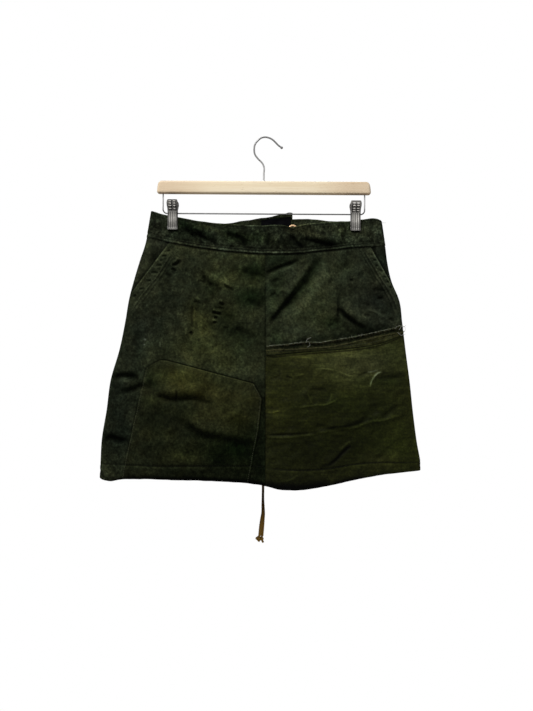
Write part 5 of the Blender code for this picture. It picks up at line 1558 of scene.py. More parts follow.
def cloth_colour(node, face, x, z):
    """A cloth piece's colour: its base, stains and marks with painted shade and light among them, painted
    shade in crease troughs and highlights on their ridges, wear and painted shade and highlights along edges
    and seams, then its mottling.
    """
    tint = np.ones((*x.shape, 3))
    for mid_x, mid_z, reach_x, reach_z, times in STAINS_AND_PAINTED_SHADING.get(node, ()):
        weight = np.exp(-(((x - mid_x) / reach_x) ** 2) - ((z - mid_z) / reach_z) ** 2)
        tint *= np.array(times) ** weight[..., None]
    for points, width, times in MARKS_AND_PAINTED_SHADING.get(node, []) + wear_and_painted_shading_lines().get(node, []):
        tint *= np.array(times) ** stroke(x, z, points, width, 1.0)[..., None]
    # Painted shade in the creases' troughs and painted highlights on their ridges.
    crease_shading = sum(stroke(x, z, points, width, height / width) for points, width, height in CREASES[face])
    tint *= np.exp(np.clip(CREASE_PAINTED_SHADING * crease_shading, *CREASE_PAINTED_SHADING_RANGE))[..., None]
    if node in BARE_THREADS:
        raw_edge, reach, times = BARE_THREADS[node]
        tint *= np.array(times) ** np.exp(-(((curve(raw_edge, x) - z) / reach) ** 2))[..., None]
    grain = np.full((*x.shape, 1), GRAIN.get(node, 1.0))
    if node in ("cargo_pocket", "front_left"):
        grain *= curve(LOW_GRAIN, z)[..., None]
    return np.concatenate([np.array(BASES[node]) * tint, grain], axis=-1)


# Materials -------------------------------------------------------------------------------------
HUE_SHIFTS = ((0.06, 0.0, -0.10), (-0.06, 0.01, 0.0))  # of a cloth's warmest and coolest patches


class Look:
    """Builds one procedural material, node by node."""

    def __init__(self, name, **constants):
        self.material = bpy.data.materials.new(name)
        self.material.use_nodes = True
        self.nodes = self.material.node_tree.nodes
        self.links = self.material.node_tree.links
        self.shader = self.nodes["Principled BSDF"]
        for socket, value in constants.items():
            self.shader.inputs[socket.replace("_", " ")].default_value = value
        self.place = self.nodes.new("ShaderNodeTexCoord").outputs["Object"]
        self.paint = None

    def feed(self, socket, value):
        if isinstance(value, bpy.types.NodeSocket):
            self.links.new(value, socket)
        else:
            socket.default_value = value

    def maths(self, operation, first, second=0.0):
        node = self.nodes.new("ShaderNodeMath")
        node.operation = operation
        self.feed(node.inputs[0], first)
        self.feed(node.inputs[1], second)
        return node.outputs[0]

    def vector(self, operation, first, second):
        node = self.nodes.new("ShaderNodeVectorMath")
        node.operation = operation
        self.feed(node.inputs[0], first)
        self.feed(node.inputs["Scale" if operation == "SCALE" else 1], second)
        return node.outputs["Value" if operation == "DOT_PRODUCT" else "Vector"]

    def noise(self, size, detail=3.0, roughness=0.55, stretch=None, distortion=0.0):
        """Noise of about a size in millimetres, and its coordinates multiplied by stretch."""
        node = self.nodes.new("ShaderNodeTexNoise")
        place = self.place if stretch is None else self.vector("MULTIPLY", self.place, stretch)
        self.links.new(place, node.inputs["Vector"])
        node.inputs["Scale"].default_value = 1.0 / (size * MM)
        node.inputs["Detail"].default_value = detail
        node.inputs["Roughness"].default_value = roughness
        node.inputs["Distortion"].default_value = distortion
        return node.outputs["Fac"]

    def wave(self, way, pitch):
        """A sine along a direction, with a pitch in millimetres."""
        along = self.vector("DOT_PRODUCT", self.place, way)
        return self.maths("SINE", self.maths("MULTIPLY", along, 2.0 * math.pi / (pitch * MM)))

    def spread(self, value, low, high):
        """A value of 0 to 1 as low to high."""
        return self.maths("ADD", self.maths("MULTIPLY", value, high - low), low)

    def total(self, *rows):
        """The sum of several values, each times its weight."""
        made = 0.0
        for value, weight in rows:
            made = self.maths("ADD", self.maths("MULTIPLY", value, weight), made)
        return made

    def painted(self, output="Color"):
        """The colour painted on the mesh's points, or its fourth part, how strongly it is mottled."""
        if self.paint is None:
            self.paint = self.nodes.new("ShaderNodeAttribute")
            self.paint.attribute_name = "paint"
        return self.paint.outputs[output]

    def mottled(self, *rows, hue=1.0):
        """The painted colour times noises, each to a power of its weight, and shifted in hue."""
        made = 0.0
        for value, weight in rows:
            made = self.maths("ADD", self.maths("MULTIPLY", self.maths("SUBTRACT", value, 0.5), weight), made)
        times = self.maths("EXPONENT", self.maths("MULTIPLY", made, self.painted("Alpha")))
        share = self.spread(self.noise(24.0, 3.0, 0.6), -0.8, 1.8)
        warm, cool = (tuple(1.0 + hue * part for part in shift) for shift in HUE_SHIFTS)
        tinted = self.vector("MULTIPLY", self.painted(), self.mixed(share, warm, cool))
        return self.vector("SCALE", tinted, times)

    def mixed(self, share, first, second):
        node = self.nodes.new("ShaderNodeMix")
        node.data_type = "RGBA"
        self.feed(node.inputs["Factor"], share)
        for socket, value in ((node.inputs[6], first), (node.inputs[7], second)):
            self.feed(socket, (*value, 1.0) if isinstance(value, tuple) else value)
        return node.outputs[2]

    def bumped(self, height, strength, depth):
        """Raises the surface by a value of about 0 to 1, up to a depth in millimetres."""
        node = self.nodes.new("ShaderNodeBump")
        node.inputs["Strength"].default_value = strength
        node.inputs["Distance"].default_value = depth * MM
        self.links.new(height, node.inputs["Height"])
        self.links.new(node.outputs["Normal"], self.shader.inputs["Normal"])

    def coloured(self, colour):
        self.links.new(colour, self.shader.inputs["Base Color"])

    def roughened(self, value):
        self.links.new(value, self.shader.inputs["Roughness"])


def twill_look():
    """Brushed heavy cotton twill: slanting ribs under a short nap, rubbed and unevenly faded."""
    look = Look("green_twill", Roughness=0.95, Specular_IOR_Level=0.02, Sheen_Weight=0.01)
    look.shader.inputs["Sheen Roughness"].default_value = 0.5
    look.shader.inputs["Sheen Tint"].default_value = (0.55, 0.62, 0.42, 1.0)
    blotches, flecks = look.noise(46.0, 4.0, 0.8), look.noise(9.0, 2.0, 0.75)
    nap, fuzz = look.noise(3.6, 2.0, 0.7), look.noise(0.9, 1.0)
    wear = look.noise(21.0, 3.0, 0.7, (1.5, 1.0, 0.9), 0.6)
    look.coloured(look.mottled((blotches, 2.0), (wear, 1.6), (flecks, 2.1), (nap, 2.5), (fuzz, 0.9)))
    ribs = look.wave((0.62, 0.0, 0.78), 1.15)
    look.bumped(look.total((ribs, 0.12), (nap, 0.9), (fuzz, 0.4), (flecks, 0.9)), 0.7, 0.5)
    return look.material


def canvas_look():
    """Plain, slightly waxed cotton canvas, with a fine weave and a dull shine."""
    look = Look("olive_canvas", Specular_IOR_Level=0.05, Sheen_Weight=0.0)
    blotches, flecks, grain = look.noise(52.0, 4.0, 0.75), look.noise(9.0, 3.0, 0.7), look.noise(3.0, 2.0)
    streaks = look.noise(14.0, 3.0, 0.7, (0.35, 1.0, 2.2))
    look.coloured(look.mottled((blotches, 0.9), (flecks, 1.2), (grain, 1.9), (streaks, 2.0), hue=0.4))
    weave = look.maths("MULTIPLY", look.wave((1.0, 0.0, 0.0), 0.9), look.wave((0.0, 0.0, 1.0), 0.9))
    look.bumped(look.total((weave, 0.1), (grain, 0.5), (flecks, 0.9), (streaks, 1.5)), 0.6, 0.5)
    look.roughened(look.spread(flecks, 0.52, 0.78))
    return look.material


def satin_look():
    """A blank woven satin label: fine level threads with a low shine."""
    look = Look("black_label", Specular_IOR_Level=0.03, Sheen_Weight=0.0)
    threads = look.wave((0.0, 0.0, 1.0), 0.45)
    specks = look.noise(1.3, 2.0)
    look.coloured(look.vector("SCALE", look.painted(), look.spread(specks, 0.7, 1.3)))
    look.bumped(look.total((threads, 0.2), (specks, 0.4)), 0.35, 0.12)
    look.roughened(look.spread(specks, 0.45, 0.6))
    return look.material


def thread_look(name, colour):
    """Spun sewing thread."""
    look = Look(name, Roughness=0.85, Specular_IOR_Level=0.05, Sheen_Weight=0.03)
    fibres = look.noise(0.5, 2.0, 0.6)
    dark, pale = (tuple(times * part for part in colour) for times in (0.6, 1.4))
    look.coloured(look.mixed(fibres, dark, pale))
    look.bumped(fibres, 0.4, 0.08)
    return look.material


def fray_look():
    """Bare canvas threads at the raw edge, from grey to nearly white."""
    look = Look("frayed_canvas", Roughness=0.95, Specular_IOR_Level=0.05, Sheen_Weight=0.05)
    mottling = look.spread(look.noise(3.5, 2.0), -0.4, 1.5)
    look.coloured(look.mixed(mottling, (0.05, 0.052, 0.034), (0.30, 0.31, 0.25)))
    look.bumped(look.noise(0.4, 2.0), 0.4, 0.08)
    return look.material


def cord_look():
    """Thin twisted cotton cord in tan, its painted colour darker where the skirt's painted shadow falls on
    it.
    """
    look = Look("tan_cord", Roughness=0.95, Specular_IOR_Level=0.02, Sheen_Weight=0.0)
    fibres, patches = look.noise(0.7, 3.0, 0.65), look.noise(9.0, 2.0)
    times = look.maths("MULTIPLY", look.spread(fibres, 0.55, 1.45), look.spread(patches, 0.75, 1.25))
    look.coloured(look.vector("SCALE", look.painted(), times))
    look.bumped(fibres, 0.5, 0.2)
    return look.material


def wood_look():
    """Pale beech with long grain, fine dark flecks and a satin varnish."""
    look = Look("pale_wood", Specular_IOR_Level=0.4, Coat_Weight=0.12, Coat_Roughness=0.35)
    grain = look.noise(16.0, 5.0, 0.6, (0.05, 1.0, 1.0), 0.6)
    lines = look.noise(1.6, 3.0, 0.6, (0.03, 1.0, 1.0))
    flecks = look.noise(1.1, 1.0, 0.5, (0.16, 1.0, 1.0))
    pale = look.mixed(look.spread(grain, -0.4, 1.4), (0.84, 0.70, 0.48), (0.97, 0.88, 0.68))
    fine = look.mixed(look.spread(lines, -0.35, 0.95), pale, (0.76, 0.60, 0.39))
    dark = look.maths("GREATER_THAN", flecks, 0.72)
    bare = look.mixed(look.maths("MULTIPLY", dark, 0.4), fine, (0.55, 0.40, 0.24))
    look.coloured(look.vector("MULTIPLY", look.painted(), bare))
    look.bumped(look.total((lines, 0.7), (grain, 0.3)), 0.25, 0.12)
    look.roughened(look.spread(lines, 0.34, 0.55))
    return look.material


def steel_look(name, colour, smooth_rough, brushed, metallic=1.0):
    """Plated steel with light scratches and dull patches."""
    look = Look(name, Metallic=metallic)
    patches, scratches = look.noise(6.0, 3.0), look.noise(1.2, 2.0, 0.6, (1.0, 1.0, 0.12))
    shade = look.spread(patches, 0.8, 1.15)
    tone = look.mixed(scratches, colour, tuple(0.8 * part for part in colour))
    look.coloured(look.vector("SCALE", look.vector("MULTIPLY", look.painted(), tone), shade))
    look.roughened(look.spread(scratches, *smooth_rough))
    look.bumped(scratches, brushed, 0.05)
    return look.material


def floor_look():
    """A plain pale studio floor."""
    look = Look("pale_floor", Roughness=0.9, Specular_IOR_Level=0.1)
    look.coloured(look.mixed(look.noise(300.0, 2.0), (0.90, 0.90, 0.895), (0.93, 0.93, 0.925)))
    look.shader.inputs["Emission Color"].default_value = (1.0, 1.0, 1.0, 1.0)
    look.shader.inputs["Emission Strength"].default_value = 0.2
    return look.material


def make_looks():
    return {
        "green_twill": twill_look(),
        "olive_canvas": canvas_look(),
        "black_label": satin_look(),
        "frayed_canvas": fray_look(),
        "thread_dark": thread_look("thread_dark", (0.010, 0.012, 0.007)),
        "thread_pale": thread_look("thread_pale", (0.055, 0.060, 0.038)),
        "thread_olive": thread_look("thread_olive", (0.050, 0.048, 0.022)),
        "thread_white": thread_look("thread_white", (0.3, 0.3, 0.26)),
        "tan_cord": cord_look(),
        "pale_wood": wood_look(),
        "bright_steel": steel_look("bright_steel", (0.46, 0.455, 0.45), (0.5, 0.62), 0.15, 0.75),
        "clip_steel": steel_look("clip_steel", (0.40, 0.385, 0.355), (0.5, 0.68), 0.2, 0.55),
    }


# The tie ---------------------------------------------------------------------------------------
# The cord is darkest just below the hem and just inside it: painted shadow of the skirt.
CORD_COLOURS_AND_SHADOW = [  # z, red, green, blue of the cord, from its dirty end up to the waist
    (-690.0, 0.235, 0.137, 0.030),
    (-655.0, 0.232, 0.132, 0.031),
    (-640.0, 0.160, 0.086, 0.018),
    (-622.0, 0.060, 0.034, 0.010),
    (-607.0, 0.036, 0.020, 0.005),
    (-588.0, 0.075, 0.044, 0.013),
    (-540.0, 0.080, 0.046, 0.014),
    (-480.0, 0.200, 0.125, 0.062),
    (-160.0, 0.300, 0.190, 0.100),
    (-148.0, 0.800, 0.540, 0.310),
    (-120.0, 0.800, 0.540, 0.310),
]


# The cord's colour by height, with the skirt's painted shadow on it.
def cord_colour_and_shadow(points):
    heights, *shades = np.array(CORD_COLOURS_AND_SHADOW).T
    return np.stack([np.interp(points[:, 2], heights, shade) for shade in shades], axis=-1)


def twisted(path, radius, across=(0.0, 1.0, 0.0), turn=0.0, splay=1.0):
    """A cord of a few strands laid round each other, along a path, and looser towards its low end."""
    length = lengths_along(path)[-1]
    line = smooth_line(path, max(12, round(length / CORD_STEP)))
    run = lengths_along(line)
    angles = 2.0 * math.pi * np.arange(CORD_SIDES)[None] / CORD_SIDES
    lay = 2.0 * math.pi * run[:, None] / CORD_LAY + turn
    high, low = CORD_SPLAY_REACH
    loose = 1.0 + (splay - 1.0) * smooth((high - line[:, 2:]) / (high - low))
    radii = radius * (1.0 - CORD_RELIEF + CORD_RELIEF * np.abs(np.cos(0.5 * CORD_STRANDS * (angles - lay))))
    radii = radii * loose
    return tubes(line[None], radii[None], CORD_SIDES, across)


def knot_path(centre, size, turned=0.0):
    """A small overhand knot's line: a trefoil that the cord enters from above."""
    turn = np.linspace(KNOT_OPENING, 2.0 * math.pi - KNOT_OPENING, 40)
    x = np.sin(turn) + 2.0 * np.sin(2.0 * turn)
    z = np.cos(turn) - 2.0 * np.cos(2.0 * turn)
    y = -KNOT_DEPTH * np.sin(3.0 * turn)
    cosine, sine = math.cos(turned), math.sin(turned)
    turned = np.stack([x * cosine - z * sine, y, x * sine + z * cosine], axis=-1)
    return np.asarray(centre) + turned * (size / 3.0)


CORD_LOOK_RADIUS = 1.85  # of its raised strands
CORD_SPLAY = {LEFT: 1.55, RIGHT: 1.3}  # how much thicker each cord has worked loose above its knot
CORD_SPLAY_REACH = (-596.0, -660.0)
KNOT_OPENING, KNOT_DEPTH, KNOT_ENTRY_RISE = 0.2, 1.3, 1.5
KNOTS = {  # its middle from the cord's end, its size, its turn and its strand's radius
    LEFT: ((-3.2, 0.0, -5.0), 2.6, 0.5, 1.9),
    RIGHT: ((-1.2, 0.0, -4.6), 2.3, -0.6, 1.85),
}
FREE_ENDS = {  # x, y, z of what is left beyond each knot, from its middle
    LEFT: [(-0.6, 0.0, -0.5), (0.8, -0.4, -3.4), (3.0, -0.3, -4.6)],
    RIGHT: [(0.0, 0.0, 0.0), (1.6, -0.5, -3.4), (2.9, -0.3, -6.4)],
}


def cord_piece(node, form, looks):
    points, faces = form
    return piece(f"{node}_cloth", points, faces, looks["tan_cord"], "tan_cord", [node], cord_colour_and_shadow(points))


def make_cords(looks):
    for side, route in CORD_ROUTES.items():
        path = smooth_line(route, CORD_PATH_POINTS)
        cord = cord_piece(f"tie_cord_{side}", twisted(path, CORD_LOOK_RADIUS, splay=CORD_SPLAY[side]), looks)
        middle, size, turned, strand = KNOTS[side]
        centre = path[-1] + middle
        tied = twisted(knot_path(centre, size, turned), strand, (0.2, 1.0, 0.1))
        above = path[-1] + (0.0, 0.0, KNOT_ENTRY_RISE)
        entry = twisted(np.stack([above, 0.5 * (path[-1] + centre), centre]), strand)
        free_end = twisted(centre + FREE_ENDS[side], strand)
        knot = cord_piece(f"tie_knot_{side}", joined([tied, entry, free_end]), looks)
    cord_piece("tie_loop", twisted(np.array(TIE_LOOP), TIE_LOOP_RADIUS), looks)


def cloth(node, grid, outer, inner, edges, look, slot="green_twill"):
    face = LAYERS[node][0]
    wall(node, face, grid, outer, inner, edges, look, slot)


# How far each kind of edge is drawn in, and over what distance.
PRESSED, SOFT_FOLD = (0.75, 1.8), (1.1, 2.0)
OPENING_EDGE, YOKE_EDGE, ALLOWANCE_EDGE = (0.35, 1.5), (0.4, 1.2), (0.5, 1.5)
PATCH_EDGES = {"top": (0.5, 1.6), "bottom": (0.8, 1.8), LEFT: (0.85, 1.8), RIGHT: (0.85, 1.8)}
SIDE_RADIUS, SIDE_ANGLES = 4.0, (30, 50, 70, 90)  # of the fold at a side, and where it gets extra columns
OPENING_CORNER = 1.5  # how far below the opening's low end the side fold's edge starts
HEM_MARKS = (-0.002, 0.001)  # shares of a panel's height just above and below the start of its doubled hem


def side_marks(side, width):
    """Extra shares round the fold at a piece's outer side."""
    insets = [SIDE_RADIUS * (1.0 - math.cos(math.radians(angle))) / width for angle in SIDE_ANGLES]
    found = []
    if side in (LEFT, "both"):
        found += insets
    if side in (RIGHT, "both"):
        found += [1.0 - inset for inset in insets]
    return found


def make_waistband(node, top, bottom, side, edges, look, rise=None):
    face, (outer, inner) = LAYERS[node]
    left, right = np.array([top[0], bottom[0]]), np.array([top[-1], bottom[-1]])
    spacing = FRONT_SPACING if face == FRONT else BACK_SPACING
    width = length_of(top, bottom)
    across = shares(width, spacing, side_marks(side, width))
    grid = patch(top, bottom, left, right, across, shares(length_of(left, right), BAND_SPACING))
    lift = 0.0 if rise is None else rise(grid[..., 0])
    cloth(node, grid, outer + lift, inner + lift, edges, look)


def lap_rise(x):
    """The right back waistband passes outside the lapped end of the left one."""
    near, far = LAP_EASE
    return LAP_RISE * (1.0 - smooth((x - near) / (far - near)))


def make_waistbands(look):
    front_top = table_line(FRONT_TOP, corner(LEFT, FRONT_TOP)[0], corner(RIGHT, FRONT_TOP)[0], 400)
    front_low = table_line(FRONT_SEAM, corner(LEFT, FRONT_SEAM)[0], corner(RIGHT, FRONT_SEAM)[0], 400)
    band_edges = {"top": SOFT_FOLD, "bottom": SOFT_FOLD}
    make_waistband("front_waistband", front_top, front_low, "both", band_edges, look)

    left_top = table_line(BACK_TOP_LEFT, corner(LEFT, BACK_TOP_LEFT)[0], LAP_END)
    left_low = np.concatenate(
        [
            table_line(BACK_SEAM, corner(LEFT, BACK_SEAM)[0], CENTRE_BACK_X),
            table_line(LAP_LOWER_EDGE, CENTRE_BACK_X + 1.0, LAP_END, 30),
        ]
    )
    make_waistband("back_waistband_left", left_top, left_low, LEFT, {**band_edges, RIGHT: SOFT_FOLD}, look)

    right_top = table_line(BACK_TOP_RIGHT, LAP_START, corner(RIGHT, BACK_TOP_RIGHT)[0])
    right_low = table_line(BACK_SEAM, LAP_START, corner(RIGHT, BACK_SEAM)[0])
    edges = {**band_edges, LEFT: SOFT_FOLD}
    make_waistband("back_waistband_right", right_top, right_low, RIGHT, edges, look, lap_rise)


def opening_line(side):
    """The slanting pocket opening, from the waist seam down to the side fold."""
    top_x, low_x, low_z = OPENINGS[side]
    return np.array([(top_x, float(curve(FRONT_SEAM, top_x))), (low_x, low_z)])


def outer_edge(side, low):
    """A front panel's outer edge: the pocket opening, then the side fold down to low."""
    below = side_line(side, OPENINGS[side][2] - OPENING_CORNER, low)
    return np.concatenate([lowered(opening_line(side), SEAM), below])


def hem_share(left_edge, right_edge):
    """The share of a panel's height at which the doubled hem starts."""
    return 1.0 - HEM_DEPTH / length_of(left_edge, right_edge)


def make_panel(node, top, bottom, left, right, side, edges, look, slot="green_twill", opening=None, hem=True):
    """A front or back panel between four lines, doubled inwards along its hem."""
    face, (outer, inner) = LAYERS[node]
    spacing = FRONT_SPACING if face == FRONT else BACK_SPACING
    marks = [share_at(left if side == LEFT else right, opening)] if opening else []
    start = hem_share(left, right)
    if hem:
        marks += [start + mark for mark in HEM_MARKS]
    width = length_of(top, bottom)
    across = shares(width, spacing, side_marks(side, width))
    down = shares(length_of(left, right), spacing, marks)
    grid = patch(top, bottom, left, right, across, down)
    inner = np.where(np.asarray(down) > start, HEM_INNER, inner)[:, None] if hem else inner
    cloth(node, grid, outer, inner, edges, look, slot)


def make_front_left(look):
    seam_z = float(curve(FRONT_SEAM, CENTRE_FRONT[0][0]))
    hem_x, hem_z = corner(LEFT, FRONT_HEM)
    centre_z = np.array([seam_z - SEAM, float(curve(FRONT_HEM, CENTRE_FRONT[1][0]))])
    right = np.stack([centre_front_x(centre_z) - 0.5 * SEAM, centre_z], axis=-1)
    top = lowered(table_line(FRONT_SEAM, OPENINGS[LEFT][0], right[0][0]), SEAM)
    bottom = table_line(FRONT_HEM, hem_x, right[1][0])
    edges = {"top": PRESSED, "bottom": PRESSED, RIGHT: PRESSED, LEFT: OPENING_EDGE}
    left = outer_edge(LEFT, hem_z)
    make_panel("front_left", top, bottom, left, right, LEFT, edges, look, opening=OPENINGS[LEFT][2])


def make_front_right_upper(look):
    top_z = float(curve(FRONT_SEAM, CENTRE_FRONT[0][0])) - SEAM
    low_z = YOKE_SEAM[0][1] + 0.5 * SEAM
    left = np.array([(centre_front_x(z) + 0.5 * SEAM, z) for z in (top_z, low_z)])
    side_x, side_z = corner(RIGHT, YOKE_SEAM)
    right = outer_edge(RIGHT, side_z + 0.5 * SEAM)
    top = lowered(table_line(FRONT_SEAM, left[0][0], OPENINGS[RIGHT][0]), SEAM)
    bottom = lowered(table_line(YOKE_SEAM, left[1][0], side_x), -0.5 * SEAM)
    edges = {"top": PRESSED, LEFT: PRESSED, RIGHT: OPENING_EDGE}
    low = OPENINGS[RIGHT][2]
    make_panel("front_right_upper", top, bottom, left, right, RIGHT, edges, look, opening=low, hem=False)


def make_front_right_lower(look):
    side_x, side_z = corner(RIGHT, YOKE_SEAM)
    hem_x, hem_z = corner(RIGHT, FRONT_HEM)
    centre_z = np.array([YOKE_SEAM[0][1] - 0.5 * SEAM, float(curve(FRONT_HEM, CENTRE_FRONT[1][0]))])
    left = np.stack([centre_front_x(centre_z) + 0.5 * SEAM, centre_z], axis=-1)
    right = side_line(RIGHT, side_z - 0.5 * SEAM, hem_z)
    top = lowered(table_line(YOKE_SEAM, left[0][0], side_x), 0.5 * SEAM)
    bottom = table_line(FRONT_HEM, left[1][0], hem_x)
    edges = {"top": YOKE_EDGE, "bottom": PRESSED, LEFT: PRESSED}
    make_panel("front_right_lower", top, bottom, left, right, RIGHT, edges, look, "olive_canvas")


def make_back(side, look):
    hem_x, hem_z = corner(side, BACK_HEM)
    seam_x, seam_z = corner(side, BACK_SEAM)
    outer = side_line(side, seam_z - SEAM, hem_z)
    middle_x = CENTRE_BACK_X + (-0.5 if side == LEFT else 0.5) * SEAM
    middle_z = (float(curve(BACK_SEAM, middle_x)) - SEAM, float(curve(BACK_HEM, middle_x)))
    middle = np.array([(middle_x, z) for z in middle_z])
    top = lowered(table_line(BACK_SEAM, *sorted((seam_x, middle_x))), SEAM)
    bottom = table_line(BACK_HEM, *sorted((hem_x, middle_x)))
    left, right = (outer, middle) if side == LEFT else (middle, outer)
    edges = {"top": PRESSED, "bottom": PRESSED, RIGHT if side == LEFT else LEFT: PRESSED}
    make_panel(f"back_{side}", top, bottom, left, right, side, edges, look)


def make_facing(side, look):
    """The pocket facing: level with the front beside it, sunk where it runs under the opening."""
    inwards = 1.0 if side == LEFT else -1.0
    seam_x, seam_z = corner(side, FRONT_SEAM)
    opening = opening_line(side)
    tip_z = opening[1][1] + FACING_TIP_SHORT
    tip = np.array([curve(SIDES, tip_z, 1 if side == LEFT else 2), tip_z])
    across = np.linspace(0.0, 1.0, FACING_COLUMNS)
    down = np.array(shares(FACING_HEIGHT, FACING_SPACING, (FACING_TIP[side],)))
    inner_edge = at_shares(opening, down)
    under = np.where(down < FACING_TIP[side], FACING_UNDERLAP * (1.0 - down), -FACING_TIP_LAP)
    inner_edge[:, 0] += inwards * under
    inner_edge[-1] = tip + np.array([inwards * FACING_TIP_WIDTH, 0.0])
    inner_edge[0, 1] = float(curve(FRONT_SEAM, inner_edge[0, 0]))
    outer = side_line(side, seam_z, tip_z)
    top = lowered(table_line(FRONT_SEAM, seam_x, inner_edge[0, 0], 40), SEAM)
    bottom = np.array([outer[-1], inner_edge[-1]])
    outer_rows, inner_rows = at_shares(lowered(outer, SEAM), down), inner_edge - [(0.0, SEAM)]
    outer_rows[-1], inner_rows[-1] = bottom
    s, t = across[None, :, None], down[:, None, None]
    straight = (1 - s) * outer_rows[:, None] + s * inner_rows[:, None]
    grid = straight + (at_shares(top, across)[None] - straight[:1]) * (1 - t)
    if side == RIGHT:
        grid = grid[:, ::-1]
    node = f"pocket_facing_{side}"
    offsets = [facing_offset(side, grid, layer) for layer in range(2)]
    cloth(node, grid, *offsets, {"top": PRESSED}, look)


def facing_offset(side, grid, layer):
    """Sinks from the front's level to under it, over the last millimetres before the opening."""
    inwards = 1.0 if side == LEFT else -1.0
    opening = opening_line(side)
    line_x = np.interp(-grid[..., 1], -opening[:, 1], opening[:, 0])
    past = inwards * (grid[..., 0] - line_x)
    away = side_distance(grid[..., 0], grid[..., 1])[0]
    sunk = smooth((past + FACING_SINK_BEFORE) / FACING_SINK_OVER)
    sunk = sunk * smooth((away - FACING_LEVEL_SIDE) / FACING_SIDE_FADE)
    return PANEL[layer] + (FACING_SUNK[layer] - PANEL[layer]) * sunk


def make_cargo_pocket(look):
    bottom = lowered(table_line(FRONT_HEM, CARGO_LEFT[-1][0], CARGO_RIGHT[-1][0]), -CARGO_SHORTER)
    left = np.array([CARGO_LEFT[0], bottom[0]])
    right = np.array([*CARGO_RIGHT[:-1], bottom[-1]])
    tops = lengths_along(CARGO_TOP) / lengths_along(CARGO_TOP)[-1]
    across = shares(length_of(CARGO_TOP, bottom), FRONT_SPACING, tops[1:-1].tolist())
    down = shares(length_of(left, right), FRONT_SPACING, [share_at(right, CARGO_RIGHT[1][1])])
    grid = patch(CARGO_TOP, bottom, left, right, across, down)
    cloth("cargo_pocket", grid, *PATCH, PATCH_EDGES, look)


def make_allowance(node, raw_edge, look, slot):
    """One layer of the seam allowance that stands up on the outside above the stitched line."""
    start = YOKE_SEAM[0][0] + ALLOWANCE_START
    stop = corner(RIGHT, raw_edge)[0] - ALLOWANCE_SHORTER
    top = table_line(raw_edge, start, stop, 400)
    x = top[:, 0]
    top[:, 1] += RAW_UNEVEN[0] * np.sin(x / 2.3) * np.sin(x / 7.9 + 1.0) + RAW_UNEVEN[1] * np.sin(x / 1.3)
    bottom = lowered(table_line(YOKE_SEAM, start, stop, 400), -ALLOWANCE_ABOVE_SEAM)
    left, right = np.array([top[0], bottom[0]]), np.array([top[-1], bottom[-1]])
    width, height = length_of(top, bottom), length_of(left, right)
    across, down = shares(width, ALLOWANCE_SPACING[0]), shares(height, ALLOWANCE_SPACING[1])
    grid = patch(top, bottom, left, right, across, down)
    curl = raw_curl(node, grid)
    outer, inner = LAYERS[node][1]
    cloth(node, grid, outer + curl, inner + curl, {"bottom": ALLOWANCE_EDGE}, look, slot)


def raw_curl(node, grid):
    """How far a raw edge curls out of the cloth, unevenly along it."""
    near_top = smooth(1.0 - edge_distances(grid)["top"] / RAW_CURL_REACH)
    along = grid[..., 0]
    return RAW_CURL[node] * near_top * (0.55 + 0.45 * np.sin(along / 11.0 + 0.6) * np.sin(along / 29.0))


LABEL_REACH, LABEL_SPACING = 56.0, 1.6  # the width that its columns are counted over


def make_label(look):
    top = table_line(LABEL_TOP, LABEL_TOP[0][0], LABEL_TOP[-1][0], 60)
    bottom = lowered(top, LABEL_HEIGHT)
    left, right = np.array([top[0], bottom[0]]), np.array([top[-1], bottom[-1]])
    across, down = shares(LABEL_REACH, LABEL_SPACING), shares(LABEL_HEIGHT, LABEL_SPACING)
    grid = patch(top, bottom, left, right, across, down)
    cloth("label", grid, *LABEL_LAYER, {}, look, "black_label")


# Fray and loose threads ------------------------------------------------------------------------
FRAY_ROOTS = (0.3, 1.4)  # how far below the raw edge a thread starts
FRAY_SPREAD = 0.5  # of the threads' tilts and bends, in radians
FRAY_LIFTS, FRAY_RISE, FRAY_ABOVE = (0.1, 0.9), 0.35, 0.3
FRAY_THICK = (1.0, 1.0, 1.0, 0.6)


def frayed(raw_edge, layer, count, lengths, lean, radius):
    """Bare threads that stand out of a raw edge: each curls its own way."""
    start, stop = YOKE_SEAM[0][0] + ALLOWANCE_START, corner(RIGHT, raw_edge)[0] - ALLOWANCE_SHORTER
    x = random.uniform(start, stop, count)
    z = curve(raw_edge, x) - random.uniform(*FRAY_ROOTS, count)
    reach = random.uniform(*lengths, count)
    tilt = random.normal(lean, FRAY_SPREAD, count)
    bend = random.normal(0.0, FRAY_SPREAD, count)
    lift = random.uniform(*FRAY_LIFTS, count)
    steps = np.linspace(0.0, 1.0, len(FRAY_THICK))
    angle = tilt[:, None] + bend[:, None] * steps
    run = reach[:, None] * steps
    flat = np.stack([x[:, None] + run * np.sin(angle), z[:, None] + run * np.cos(angle)], axis=-1)
    offset = layer + FRAY_ABOVE + lift[:, None] * run * FRAY_RISE
    points = on_cloth(FRONT, flat.reshape(-1, 2), offset.ravel())
    return tubes(points.reshape(count, len(steps), 3), radius * np.array(FRAY_THICK), 3)


LOOSE_THREADS = [  # x, z along a thread, offset from the surface, its radius
    ([(222.0, -318.0), (229.0, -312.0), (232.0, -317.0), (228.0, -323.0)], 1.8, 0.22),
    ([(219.0, -322.0), (226.0, -327.0), (232.0, -325.0)], 2.6, 0.2),
    ([(215.0, -316.0), (222.0, -311.0), (230.0, -313.0), (234.0, -310.0)], 1.6, 0.2),
    ([(68.0, -341.0), (71.0, -334.0), (76.0, -332.5)], 1.8, 0.2),
    ([(73.0, -341.0), (74.0, -345.0), (70.0, -348.0)], 2.4, 0.2),
]
LOOSE_POINTS, LOOSE_ARCH = 14, 1.2


